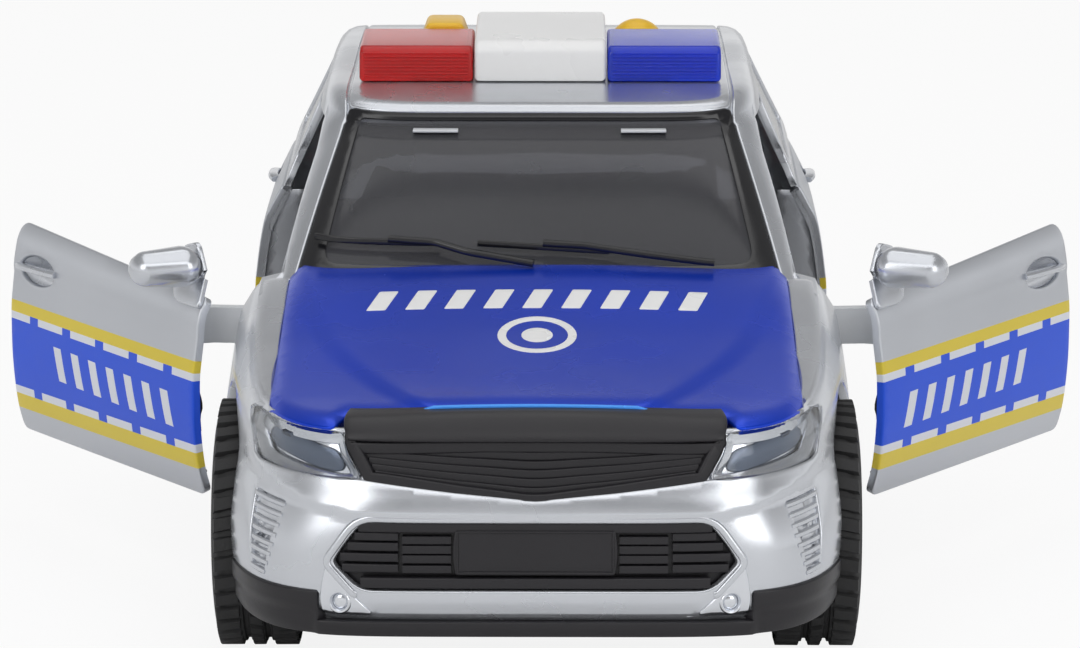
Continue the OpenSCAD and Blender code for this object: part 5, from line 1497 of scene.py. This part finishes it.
def striped_paint(name, bars_from, bars_to):
    material, tree, shader, coords = bare_material(name)

    def do(operation, *values):
        return calc(tree, operation, *values)

    def row(value, start, end):
        return do("COMPARE", value, (start + end) / 2, (end - start) / 2)

    def both(a, b):
        return do("MULTIPLY", a, b)

    place = tree.nodes.new("ShaderNodeSeparateXYZ")
    tree.links.new(tree.nodes["Texture Coordinate"].outputs["UV"], place.inputs[0])
    along = do("MULTIPLY", place.outputs["X"], 100.0)
    height = do("MULTIPLY", place.outputs["Y"], 100.0)
    fall = do("MULTIPLY_ADD", along, 1 / 66, 44 / 66)
    low = do("MULTIPLY_ADD", fall, 2.2, height)
    high = do("MULTIPLY_ADD", fall, 0.9, height)
    beat = do("FRACT", do("MULTIPLY_ADD", along, 1 / DASH_PITCH, 45.9 / DASH_PITCH))
    dash = do("LESS_THAN", beat, 9.1 / DASH_PITCH)
    slant = do("MULTIPLY_ADD", height, -0.28, along)
    stroke = do("FRACT", do("MULTIPLY", slant, 1 / STROKE_PITCH))
    mark = both(do("LESS_THAN", stroke, 0.42), row(height, 28.2, 34.4))
    mark = both(mark, row(slant, bars_from, bars_to))
    white_low = both(row(low, BLUE_LOW, 26.3), dash)
    white_high = both(row(high, 37.8, BLUE_HIGH), dash)
    band = both(do("GREATER_THAN", low, BLUE_LOW), do("LESS_THAN", high, BLUE_HIGH))
    print_zone = both(do("GREATER_THAN", low, PRINT_LOW), do("LESS_THAN", high, PRINT_HIGH))
    wander = spread(tree, noise(tree, coords, 18), 0, 1)
    tone, blue, yellow, white = (blend(tree, wander, *tones) for tones in STRIPE_TONES)
    for mask, colour in ((band, blue), (row(low, PRINT_LOW, BLUE_LOW), yellow),
                         (row(high, BLUE_HIGH, PRINT_HIGH), yellow), (white_low, white),
                         (white_high, white), (mark, white)):
        tone = blend(tree, mask, tone, colour)
    tree.links.new(tone, shader.inputs["Base Color"])
    tree.links.new(do("MULTIPLY_ADD", print_zone, -0.75, 0.75), shader.inputs["Metallic"])
    shader.inputs["Specular IOR Level"].default_value = 0.35
    add_grain(tree, shader, coords, 0.33, 0.05, 7000, 0.08)
    return material


door_paint = striped_paint("door_paint", -44.85, -0.3)
rear_paint = striped_paint("rear_door_paint", 200.0, 201.0)
print("striped finishes:", door_paint.name, rear_paint.name)

# %% [markdown]
# ## The rear of the body
#
# A second silver moulding runs from door to door round the tail: sills, haunches and rear bumper. The
# rear doors and the tailgate are panels of their own, so their shut lines are real gaps over the body
# behind them.

# %% Rear moulding
def on_tail(points):
    x, z = np.array(points, float).T
    return np.stack(ring_place(x, end_y(x, z, 1), z), -1)


def rear_form(u, v):
    soft = ring(u, v)
    tail = soft_step(soft[..., 1], 103, 113)[..., None]
    return sharp_ring(u, v) * (1 - tail) + soft * tail


REAR_CREASE = 30.5


def rear_relief(point):
    y, z = point[..., 1], point[..., 2]
    below = 0.2 * soft_step(REAR_CREASE - z, -0.4, 0.6)
    return below * soft_step(y, 98, 110) - 0.26


rear_arch = arc((REAR_AXLE, AXLE_Z), 24.4, 193, 1.4, 44)
flare = arc((REAR_AXLE, AXLE_Z), 27.0, 120, 187.5, 18)
sill_line = [(y, 15.2) for y in np.linspace(23.3, 52.5, 14)]
foot_line = sill_line + rear_arch + [(y, SKIRT_LINE) for y in (104, 108, 111)]
tail_foot = [(44, SKIRT_LINE), (41, SKIRT_LINE), (35.0, SKIRT_LINE), (34.4, 20.8), (34.4, 17.2),
             (33.6, 16.45), (17, 16.45), (0, 16.45)]
gate_side = [(0, 29.4), (17, 29.4), (33.0, 29.4), (34.2, 30.6), (34.2, 40), (34.2, 50), (34.2, 55)]
turn = np.radians(np.linspace(60, 30, 10))
shelf = np.stack([48.8 * np.cos(turn) ** (2 / 7), 30.5 + 84.0 * np.sin(turn) ** (2 / 7)], -1)
belt_y = np.linspace(95, 65.3, 12)
belt = on_side(np.stack([belt_y, deck_z(belt_y)], -1))
belt[:, 1] = 37.7
top_line = np.concatenate([
    on_tail(gate_side),
    deck_place(np.array([34.6]), np.array([113.9])),
    deck_place(*shelf.T),
    belt,
    on_side([(65.3, 57.0), (65.2, 52), (64.3, 46)]),
    on_side(flare),
    on_side([(y, 17.0) for y in np.linspace(50, 23.3, 12)]),
])
foot = np.concatenate([on_side(foot_line), on_tail(tail_foot)])


def past_tail(loop):
    return np.stack([2 * TAIL - loop[:, 0], loop[:, 1]], -1)[::-1]


rear_loop = np.concatenate([foot, past_tail(foot)[1:], past_tail(top_line), top_line[1:]])
lamp_hole = on_tail(rounded_box(35.0, 45.8, 40.7, 54.2, 0.8)[::-1])
lamp_holes = [lamp_hole, past_tail(lamp_hole)]
rear_moulding = skin("rear_moulding", lifted(rear_form, rear_relief), rear_loop, lamp_holes, silver,
                     step=1.3, thick=1.4, roll=0.35)
dress(rear_moulding, "car", "silver_paint", "body_shell")

# %% [markdown]
# The tailgate is a panel with a shallow tray for a blank plate. The tail lamps are red lenses with
# moulded ribs, let into holes of the rear moulding, because a lens lying on top would stand out from the
# side.

# %% Tailgate, plate and tail lamps
gate_foot = [(0, 30.2), (17, 30.2), (32.6, 30.2), (33.5, 31.1), (33.5, 40), (33.5, 50), (33.5, 55)]
gate_half = np.concatenate([on_tail(gate_foot), deck_place(np.linspace(33.4, 0, 12), np.full(12, 113.9))])
gate_loop = np.concatenate([past_tail(gate_half), gate_half[1:-1]])[::-1]


def gate_relief(point):
    x, z = np.abs(point[..., 0]), point[..., 2]
    tray = soft_step(z, 33.2, 34.2) * (1 - soft_step(z, 43.4, 44.4)) * (1 - soft_step(x, 20, 21.2))
    return -0.1 - 0.35 * tray


tailgate = skin("tailgate_panel", lifted(rear_form, gate_relief), gate_loop, (), silver, step=1.2,
                thick=1.4, roll=0.35)
dress(tailgate, "car", "silver_paint", "body_shell")
plate_loop = on_tail(rounded_box(-12.5, 12.5, 34.9, 42.3, 0.5)[::-1])
# Past the middle of the tail the run goes on, instead of starting again from the other side.
plate_loop[:, 0] %= 2 * TAIL
rear_plate = skin("rear_plate", lifted(rear_form, -0.05), plate_loop, (), black_plastic, step=1.6,
                  thick=0.5, roll=0.2)
dress(rear_plate, "car", "black_plastic", "body_shell")
lamp_parts = []
for s in (1, -1):
    edge = on_tail(rounded_box(35.5, 45.3, 41.2, 53.7, 0.7)[::-1])
    ribs = [on_tail([(x, z) for x in np.linspace(36.3, 44.6, 8)]) for z in (43.6, 46.2, 48.8, 51.4)]
    if s < 0:
        edge, *ribs = [past_tail(loop) for loop in (edge, *ribs)]
    lamp_parts.append(skin(f"tail_lens_{s}", lifted(rear_form, 0.1), edge, (), tail_red, step=1.1,
                           thick=1.4, roll=0.4))
    lamp_parts.append(bars(f"tail_ribs_{s}", [lifted(rear_form, 0.15)(*rib.T) for rib in ribs], 0.5, 0.5,
                           0.18, tail_red))
tail_lamps = joined("tail_lamp_set", lamp_parts)
dress(tail_lamps, "car", "tail_red", "tail_lamps")

# %% [markdown]
# A rear door does not open on this toy. It is a panel over the body with a gap round it, the printed
# band, and a grip over a hollow. The same grip serves the front doors.

# %% Rear doors
def side_form(y, z):
    y, z = pair(y, z)
    return np.stack([side_x(y, z), y, z], -1)


def left_of(place):
    def other(u, v):
        return place(-np.asarray(u, float), v) * np.array([-1.0, 1.0, 1.0])
    return other


def hundredth(s):
    def map_place(flat):
        return flat * np.array([s, 1.0]) / 100
    return map_place


door_arch = arc((REAR_AXLE, AXLE_Z), 27.9, 187, 120, 18)
rear_door_loop = np.array([(23.5, 17.8), (36, 17.8), (49.0, 17.8), *door_arch, (64.2, 52), (64.3, 57.6)]
                          + [(y, float(deck_z(y)) - 0.6) for y in np.linspace(63.6, 24.1, 12)]
                          + [(23.5, 57.4)])
HANDLE_SPOT, HANDLE_WIDE, HANDLE_TALL = (57.0, 53.2), 5.4, 2.7


def for_side(s, place, *loops):
    return (place if s > 0 else left_of(place), *sided(s, *map(np.array, loops)))


def handle_set(name, s, place, centre, wide, tall, proud):
    def bowl_place(y, z):
        r = ((y - centre[0]) / (wide + 0.2)) ** 2 + ((z - centre[1]) / (tall + 0.2)) ** 2
        return lifted(place, -0.25 - 1.3 * np.sqrt(np.maximum(1 - r, 0)))(y, z)

    put, loop = for_side(s, bowl_place, oval_loop(centre, wide + 0.1, tall + 0.1))
    bowl = skin(f"{name}_bowl", put, loop, (), silver, step=0.7, thick=0.4, roll=0.1)
    run = np.linspace(-wide * 0.98, wide * 0.98, 15)
    lift = proud - 0.9 * (run / wide) ** 4
    path = [lifted(place, float(h))(centre[0] + d, centre[1] + 0.2 - 0.04 * d) * np.array([s, 1.0, 1.0])
            for d, h in zip(run, lift)]
    return joined(name, [bowl, bars(f"{name}_grip", [path], 2.0, 1.1, 0.45, silver)])


for s, title in SIDES:
    hole = oval_loop(HANDLE_SPOT, HANDLE_WIDE, HANDLE_TALL)
    put, loop, hole = for_side(s, lifted(side_form, -0.05), rear_door_loop, hole)
    panel = skin(f"rear_door_{title}", put, loop, [hole], rear_paint, hundredth(s), step=1.3, thick=1.2,
                 roll=0.35)
    dress(panel, "car", "silver_paint", "body_shell")
    grip = handle_set(f"rear_handle_{title}", s, side_form, HANDLE_SPOT, HANDLE_WIDE, HANDLE_TALL, 0.8)
    dress(grip, "car", "silver_paint", "body_shell")

# %% [markdown]
# Behind each front door the body turns inwards: a flat return that closes the doorway's rear edge.

# %% Doorway returns
RETURN_Y = 23.8


def return_form(x, z):
    x, z = pair(x, z)
    return np.stack([x, np.full(x.shape, RETURN_Y), z], -1)


return_edge = [(float(side_x(RETURN_Y, z)) - 1.9, z) for z in np.linspace(18.5, 57.0, 14)]
return_loop = [(44.6, 18.5), *return_edge, (44.6, 57.0)]
for s, title in SIDES:
    loop, = sided(s, return_loop)
    piece = skin(f"doorway_return_{title}", return_form, loop, (), silver, step=1.4, thick=1.0, roll=0.25)
    dress(piece, "car", "silver_paint", "body_shell")

# %% [markdown]
# ## Front doors
#
# A door is drawn where it lies when shut, on the side of the body, and every piece of it is then turned
# about the hinge pin to where it stands open. The left door is the right one seen in a mirror. Panel,
# card, arm and mirror ride on the door's own body, so they swing together.

# %% Door panels
DOOR_SWING = math.radians(35)
HINGE = np.array([48.0, -57.0])


def swung(place):
    def opened(u, v):
        point = place(u, v)
        x, y = point[..., 0] - HINGE[0], point[..., 1] - HINGE[1]
        c, s = math.cos(DOOR_SWING), math.sin(DOOR_SWING)
        return np.stack([HINGE[0] + x * c + y * s, HINGE[1] - x * s + y * c, point[..., 2]], -1)
    return opened


def door_height(y, share):
    return float(sill_z(y) + share * (deck_z(y) - sill_z(y)))


def door_crease(point):
    return 0.3 * soft_step(point[..., 2], 45.6, 47.2) - 0.3


door_form = lifted(side_form, door_crease)
door_corners = [(y, door_height(y, share))
                for y, share in ((-43.5, 0.02), (21.6, 0.02), (21.6, 0.915), (-43.5, 0.915))]
door_loop = rounded_loop(door_corners, [1.6, 1.4, 1.8, 1.0])
PULL_SPOT, PULL_WIDE, PULL_TALL = (13.0, 47.1), 6.8, 3.0
for s, title in SIDES:
    put, loop, hole = for_side(s, swung(door_form), door_loop, oval_loop(PULL_SPOT, PULL_WIDE, PULL_TALL))
    panel = skin(f"door_skin_{title}", put, loop, [hole], door_paint, hundredth(s), step=1.2, thick=1.5,
                 roll=0.4)
    panel.data.materials.append(silver)
    outward = Vector((s * math.cos(DOOR_SWING), -math.sin(DOOR_SWING), 0))
    inner_faces = [int(p.normal.dot(outward) < -0.1) for p in panel.data.polygons]
    panel.data.polygons.foreach_set("material_index", inner_faces)
    dress(panel, f"door_{title}", "silver_paint", f"door_panel_{title}")
    grip = handle_set(f"door_pull_{title}", s, swung(door_form), PULL_SPOT, PULL_WIDE, PULL_TALL, 0.55)
    dress(grip, f"door_{title}", "silver_paint", f"door_panel_{title}")

# %% [markdown]
# The inside of a door is a black card with an arm rest and a pocket, both as relief in the skin. The
# goose-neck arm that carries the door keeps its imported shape, with its edges softened as in a real
# moulding.

# %% Door cards and hinge arms
SHARP_FOLD = 32


def card_relief(point):
    z = point[..., 2]
    rest = soft_step(z, 30.6, 31.2) * (1 - soft_step(z, 33.4, 34.2))
    pocket = soft_step(z, 20.6, 21.4) * (1 - soft_step(z, 26.6, 27.4))
    return 0.5 * rest - 0.7 * pocket - 0.4


def from_inside(place):
    def seen_from_inside(u, v):
        return place(-np.asarray(u, float), v)
    return seen_from_inside


def softened(node, name, material, width):
    piece = node_copy(node, name, merge=0.03, flat=1.5)
    fold = math.radians(SHARP_FOLD)
    with edited(piece.data) as work:
        sharp = [e for e in work.edges if len(e.link_faces) == 2 and e.calc_face_angle() > fold]
        bmesh.ops.bevel(work, geom=sharp, offset=width * MM, segments=2, profile=0.6, affect="EDGES",
                        clamp_overlap=True)
    smooth(piece.data, SHARP_FOLD)
    piece.data.materials.append(material)
    print(name, len(piece.data.polygons), "faces")
    return piece


card_loop = rounded_box(-18.6, 40.6, 18.8, 38.4, 1.5)
for s, title in SIDES:
    inner = lifted(from_inside(lifted(side_form, -4.1)), card_relief)
    put, loop = for_side(s, swung(inner), card_loop)
    card = skin(f"door_lining_{title}", put, loop, (), black_plastic, step=1.1, thick=1.9, roll=0.35)
    dress(card, f"door_{title}", "black_plastic", f"door_card_{title}")
    arm = softened(f"hinge_arm_{title}", f"door_arm_{title}", pale_plastic, 0.5)
    dress(arm, f"door_{title}", "silver_paint", f"hinge_arm_{title}")

# %% [markdown]
# ## Mirrors
#
# A mirror housing is the skin stretched over two balls, cut flat where the glass sits: for each
# direction, the farthest point of the two balls is taken. A thin sail plate carries it at the front
# corner of the door.

# %% Mirror housings
POD_MIDDLE, POD_GLASS, POD_FOOT = -38.2, -37.8, 54.3


def pod_points(rows=30, columns=48):
    balls = [(np.array([53.5, -40.0, 57.6]), 3.6), (np.array([59.4, -38.6, 57.6]), 3.1)]
    a = np.linspace(0, math.pi, rows)[:, None]
    b = np.linspace(0, 2 * math.pi, columns, endpoint=False)[None]
    a, b = pair(a, b)
    way = np.stack([np.cos(a), np.sin(a) * np.cos(b), np.sin(a) * np.sin(b)], -1)
    reach = np.stack([way @ centre + radius for centre, radius in balls])
    outer = (reach[1] > reach[0])[..., None]
    point = np.where(outer, balls[1][0] + balls[1][1] * way, balls[0][0] + balls[0][1] * way)
    ahead = POD_MIDDLE - point[..., 1]
    point[..., 1] = np.where(ahead > 0, POD_MIDDLE - ahead * 1.2, np.minimum(point[..., 1], POD_GLASS))
    point[..., 2] = np.maximum(point[..., 2], POD_FOOT)
    return point


def tube_faces(rows, columns):
    i, j = np.meshgrid(np.arange(rows - 1) * columns, np.arange(columns), indexing="ij")
    after = (j + 1) % columns
    return np.stack([i + j, i + columns + j, i + columns + after, i + after], -1).reshape(-1, 4)


sail_loop = rounded_loop([(-43.7, 50.6), (-36.0, 50.6), (-33.4, 54.0), (-34.6, 59.6), (-39.0, 60.9)],
                         [0.8, 2, 1.5, 1.2, 1.2])
pod = pod_points()
rows, columns = pod.shape[:2]
for s, title in SIDES:
    put, loop = for_side(s, swung(lifted(side_form, 1.05)), sail_loop)
    sail = skin(f"mirror_sail_{title}", put, loop, (), silver, step=1.0, thick=0.9, roll=0.35)
    spots = swung(lambda u, v: pod)(0, 0).reshape(-1, 3) * np.array([s, 1.0, 1.0])
    faces = tube_faces(rows, columns)[:, ::s]
    housing = mesh_object(f"mirror_pod_{title}", spots, faces, silver, sharp=50)
    with edited(housing.data) as work:
        merge_close(work, 0.01)
        bmesh.ops.recalc_face_normals(work, faces=work.faces)
    mirror = joined(f"mirror_housing_{title}", [sail, housing])
    dress(mirror, f"door_{title}", "silver_paint", f"mirror_shell_{title}")

# %% [markdown]
# ## Light bar
#
# Two coloured lenses stand either side of a white housing. Each is a profile drawn across the car with
# softened ends. The lenses are hollow, with walls a little over a millimetre thick, and fine ribs run
# along their front faces.

# %% Lenses and housing
BAR_Y, BAR_Z = 6.0, 80.95


def middle_and_half(profile):
    low, high = profile.min(0), profile.max(0)
    return (low + high) / 2, (high - low) / 2


def loaf(name, profile, x0, x1, radius, material, turns=4):
    centre, half = middle_and_half(profile)
    rings = [(x0 + radius * (1 - math.sin(a)), radius * (1 - math.cos(a)))
             for a in np.radians(np.linspace(0, 90, turns + 1))]
    ends = sorted(rings + [(x1 + x0 - x, inset) for x, inset in rings])
    points = []
    for x, inset in ends:
        loop = centre + (profile - centre) * (1 - inset / half)
        points += [(x, y, z) for y, z in loop]
    n = len(profile)
    faces = [f[::-1] for f in tube_faces(len(ends), n).tolist()]
    faces += [list(range(n))[::-1], list(range((len(ends) - 1) * n, len(ends) * n))]
    return mesh_object(name, points, faces, material, sharp=35)


def bar_profile(shares, depth, height, radii):
    return rounded_loop([(BAR_Y + a * depth, BAR_Z + b * height) for a, b in shares], radii)


def hollow_loaf(name, profile, x0, x1, radius, wall, material):
    outside = loaf(f"{name}_outside", profile, x0, x1, radius, material)
    centre, half = middle_and_half(profile)
    inside = loaf(f"{name}_inside", centre + (profile - centre) * (1 - wall / half), x0 + wall, x1 - wall,
                  radius * 0.6, material)
    inside.data.flip_normals()
    return [outside, inside]


lens_profile = bar_profile([(1, 0), (1, 0.86), (0.94, 1), (0.09, 1), (0.03, 0.86), (0, 0)], 23.0, 6.25,
                           [0.3, 0.6, 0.7, 0.7, 0.6, 0.3])
centre_profile = bar_profile([(1, 0), (0.97, 0.86), (0.85, 1), (0.07, 0.92), (0.01, 0.74), (0, 0)], 37.0,
                             7.9, [0.3, 1.6, 2.0, 1.2, 0.9, 0.3])
for s, title, lens in ((-1, "red", red_lens), (1, "blue", blue_lens)):
    x0, x1 = sorted((s * 12.35, s * 33.15))
    parts = hollow_loaf(f"{title}_lens", lens_profile, x0, x1, 0.7, 1.3, lens)
    ribs = [[(x, BAR_Y + 0.11 * (z - BAR_Z) - 0.02, z) for x in (x0 + 0.9, x1 - 0.9)]
            for z in np.arange(81.7, 86.2, 0.62)]
    parts.append(bars(f"{title}_ribs", ribs, 0.34, 0.34, 0.14, lens))
    cover = joined(f"light_cover_{title}", parts)
    dress(cover, "car", f"{title}_lens", f"lens_{title}")
housing = loaf("light_bar_housing", centre_profile, -12.05, 12.05, 0.9, white_plastic)
dress(housing, "car", "white_plastic", "lightbar_centre")

# %% [markdown]
# ## Push buttons
#
# Behind the lenses sit two yellow buttons, one with slanted flanks and one domed, so that a child can
# tell them apart. Each keeps its stem, which goes down through the roof to a switch, and slides a little
# when pressed.

# %% Buttons
BUTTON_X, BUTTON_Y = 18.1, 35.3
UP = (0, 0, 1)
cap_corners = [(5.2, 82.4), (3.3, 87.75), (-3.3, 87.75), (-5.2, 82.4)]
cap_profile = rounded_loop(cap_corners, [0.4, 1.0, 1.0, 0.4]) + np.array([-BUTTON_X, 0])
cap = loaf("slanted_cap", cap_profile, 29.85, 40.75, 0.8, yellow_plastic)
for vertex in cap.data.vertices:
    vertex.co = vertex.co.yxz
cap.data.flip_normals()
stem_profile = [(0, 76.0), (2.2, 76.0), (2.4, 76.2), (2.4, 77.4), (3.5, 77.5), (3.6, 77.6), (3.6, 78.5),
                (3.5, 78.6), (2.4, 78.6), (2.4, 82.5), (0, 82.5)]
dome_profile = [(0, 82.4), (4.9, 82.4), (5.2, 82.6)]
dome_turn = np.radians(np.linspace(4, 86, 16))
dome_profile += [(5.2 * math.cos(a), 82.75 + 5.05 * math.sin(a)) for a in dome_turn] + [(0, 87.8)]
dome = turned("domed_cap", dome_profile, (BUTTON_X, BUTTON_Y, 0), UP, yellow_plastic, 48)
for s, title, top in ((-1, "left", cap), (1, "right", dome)):
    stem = turned(f"{title}_stem", stem_profile, (s * BUTTON_X, BUTTON_Y, 0), UP, yellow_plastic, 32)
    button = dress(joined(f"push_button_{title}", [top, stem]), f"button_{title}", "yellow_plastic",
                   f"button_{title}")
    print(button.name, len(button.data.polygons), "faces")

# %% [markdown]
# ## Wipers
#
# Both wipers rest low on the screen: a thin rubber blade, and a stouter arm that runs down to the foot of
# the screen.

# %% Wipers
def on_screen(points, lift, count=14):
    points = np.array(points, float)
    run = np.linspace(0, len(points) - 1, count)
    share = np.interp(run, range(len(points)), points[:, 0]) * 0.88 * SCREEN_HALF
    v = np.interp(run, range(len(points)), 0.1 + points[:, 1] * 0.87) * PILLAR
    return lifted(screen_form(-1), lift)(share, v)


WIPERS = (
    ("left", [(-0.95, 0.17), (-0.42, 0.16)], [(-0.64, 0.17), (-0.44, 0.15), (-0.3, 0.09), (-0.02, 0.02)]),
    ("right", [(-0.26, 0.16), (0.3, 0.11)], [(0.02, 0.145), (0.2, 0.13), (0.38, 0.09), (0.73, 0.02)]),
)
for title, blade, arm in WIPERS:
    parts = [bars(f"wiper_blade_{title}", [on_screen(blade, 0.95)], 0.8, 1.1, 0.2, gloss_black),
             bars(f"wiper_arm_{title}", [on_screen(arm, 1.5, 24)], 1.5, 1.2, 0.4, gloss_black)]
    dress(joined(f"wiper_set_{title}", parts), "car", "gloss_black", f"wiper_{title}")

# %% [markdown]
# ## Wheels
#
# A tyre is a turned profile with rounded shoulders and two shallow grooves. Its tread blocks repeat round
# the wheel, so a Geometry Nodes tree sets one tapered block on every point of a circle, row by row.

# %% Node tree: blocks round a wheel
def tread_tree():
    tree, entry, leave = empty_tree("blocks_round_a_wheel", (("Count", 40), ("Radius", 0.02)))
    nodes = tree.nodes
    circle = nodes.new("GeometryNodeMeshCircle")
    aim = nodes.new("FunctionNodeAlignRotationToVector")
    aim.axis = "X"
    spot = nodes.new("GeometryNodeInputPosition")
    spread_out = nodes.new("GeometryNodeInstanceOnPoints")
    stand = nodes.new("GeometryNodeTransform")
    stand.inputs["Rotation"].default_value = (0, math.radians(90), 0)
    real = nodes.new("GeometryNodeRealizeInstances")
    paint = nodes.new("GeometryNodeSetMaterial")
    wire(tree, (
        (entry, "Count", circle, "Vertices"),
        (entry, "Radius", circle, "Radius"),
        (circle, "Mesh", spread_out, "Points"),
        (entry, "Geometry", spread_out, "Instance"),
        (spot, "Position", aim, "Vector"),
        (aim, "Rotation", spread_out, "Rotation"),
        (spread_out, "Instances", stand, "Geometry"),
        (stand, "Geometry", real, "Geometry"),
        (real, "Geometry", paint, "Geometry"),
        (entry, "Finish", paint, "Material"),
        (paint, "Geometry", leave, "Geometry"),
    ))
    return tree


TREAD = tread_tree()
print("tread tree:", len(TREAD.nodes), "nodes")

# %% [markdown]
# One block is a tapered box with a slant. Three rows of it, each turned by half a block, make the
# pattern.

# %% Tread rows
TREAD_BLOCKS, TREAD_RADIUS = 38, 20.24
TREAD_ROWS = ((41.9, 4.2, 0.2), (46.5, 2.3, -0.3), (51.1, 4.2, 0.2))


def tread_row(name, count, radius, across, size, slant, turn):
    high, long, wide = size
    base = [(-high / 2, long / 2, wide / 2), (high / 2, long / 2 - 0.25, wide / 2 - 0.25)]
    points = [(x, sy * y + slant * sz * z, sz * z)
              for x, y, z in base for sy, sz in ((-1, -1), (1, -1), (1, 1), (-1, 1))]
    faces = [(3, 2, 1, 0), (4, 5, 6, 7)] + [(i, (i + 1) % 4, (i + 1) % 4 + 4, i + 4) for i in range(4)]
    source = mesh_object(name + "_block", points, faces, tyre_rubber)
    modifier = source.modifiers.new("tread", "NODES")
    modifier.node_group = TREAD
    set_inputs(modifier, {"Count": count, "Radius": radius * MM, "Finish": tyre_rubber})
    row = settle(source, name)
    c, s = math.cos(turn), math.sin(turn)
    for vertex in row.data.vertices:
        x, y, z = vertex.co
        vertex.co = (x + across * MM, y * c - z * s, y * s + z * c)
    return row


print("tread:", len(TREAD_ROWS), "rows of", TREAD_BLOCKS, "blocks")

# %% [markdown]
# The tyre's body is turned from half a section. The left tyres are the right ones with their sign
# changed.

# %% Tyres
def tyre(name, side, y):
    profile = [(13.7, 39.4), (16.6, 39.3), (18.6, 39.7), (19.6, 40.6), (20.05, 42.0), (20.05, 44.3),
               (19.5, 44.5), (19.5, 45.1), (20.05, 45.3), (20.05, 47.7), (19.5, 47.9), (19.5, 48.5),
               (20.05, 48.7), (20.05, 51.0), (19.6, 52.4), (18.6, 53.3), (17.4, 53.6), (17.2, 53.4),
               (16.0, 53.6), (15.8, 53.8), (14.2, 53.7), (13.7, 53.3)]
    parts = [turned(f"{name}_carcass", profile + [profile[0]], (0, 0, 0), (1, 0, 0), tyre_rubber, 72, 30)]
    for k, (across, wide, slant) in enumerate(TREAD_ROWS):
        size, turn = (0.86, 2.5, wide), math.pi * k / TREAD_BLOCKS
        parts.append(tread_row(f"{name}_row_{k}", TREAD_BLOCKS, TREAD_RADIUS, across, size, slant, turn))
    whole = joined(name, parts)
    for vertex in whole.data.vertices:
        vertex.co = (vertex.co.x * side, vertex.co.y + y * MM, vertex.co.z + AXLE_Z * MM)
    if side < 0:
        whole.data.flip_normals()
    print(name, len(whole.data.polygons), "faces")
    return whole


for end, y in (("front", FRONT_AXLE), ("rear", REAR_AXLE)):
    for side, title in ((-1, "left"), (1, "right")):
        whole = tyre(f"treaded_tyre_{end}_{title}", side, y)
        dress(whole, f"{end}_wheels", "tyre_rubber", f"tyre_{end}_{title}")
    hubs = softened(f"{end}_hubs", f"wheel_hubs_{end}", bright_plate, 0.25)
    dress(hubs, f"{end}_wheels", "silver_paint", f"{end}_hubs")

# %% [markdown]
# ## Inside the car
#
# Seats, bench, dashboard and steering wheel show through the glass and the open doorways. They are copies
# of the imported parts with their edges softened, as moulded plastic has them. The mechanism and the
# electrics stay as they are packed: each of those parts only gets its finish.

# %% Cabin fittings
for node, name, material, slot, width in (
        ("front_seats", "seat_pair", seat_plastic, "seat_plastic", 0.9),
        ("rear_bench", "bench_seat", seat_plastic, "seat_plastic", 0.9),
        ("dashboard", "dash_moulding", black_plastic, "black_plastic", 0.6),
        ("steering_wheel", "steering_rim", black_plastic, "black_plastic", 0.15),
        ("interior_tub", "cabin_tub", grey_plastic, "grey_plastic", 0.3)):
    dress(softened(node, name, material, width), "car", slot, node)

# %% [markdown]
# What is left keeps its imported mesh: the chassis, the drive, the electrics and the mirror glasses. They
# are seldom seen, so a finish by name is enough.

# %% Finish of every part that is left
PLAIN = (
    (grey_plastic, "hinge_brackets speaker roof_unit_cover"),
    (black_plastic, "chassis battery_cover"),
    (white_plastic, "roof_lamps gearbox_frame drive_gear idler_gear"),
    (steel, "screws flywheel front_axle rear_axle"),
    (mirror_foil, "mirror_glass_left mirror_glass_right"),
    (cell_jacket, "battery_cells"),
    (board_green, "circuit_board"),
)
plain_finishes = {node: material for material, nodes in PLAIN for node in nodes.split()}
dressed = 0
for item in bpy.data.objects:
    node = item.get("node") or item.name
    if item.type == "MESH" and node in plain_finishes:
        item.data.materials.clear()
        item.data.materials.append(plain_finishes[node])
        dressed += 1
print("packed parts with a finish:", dressed, "of", len(plain_finishes))
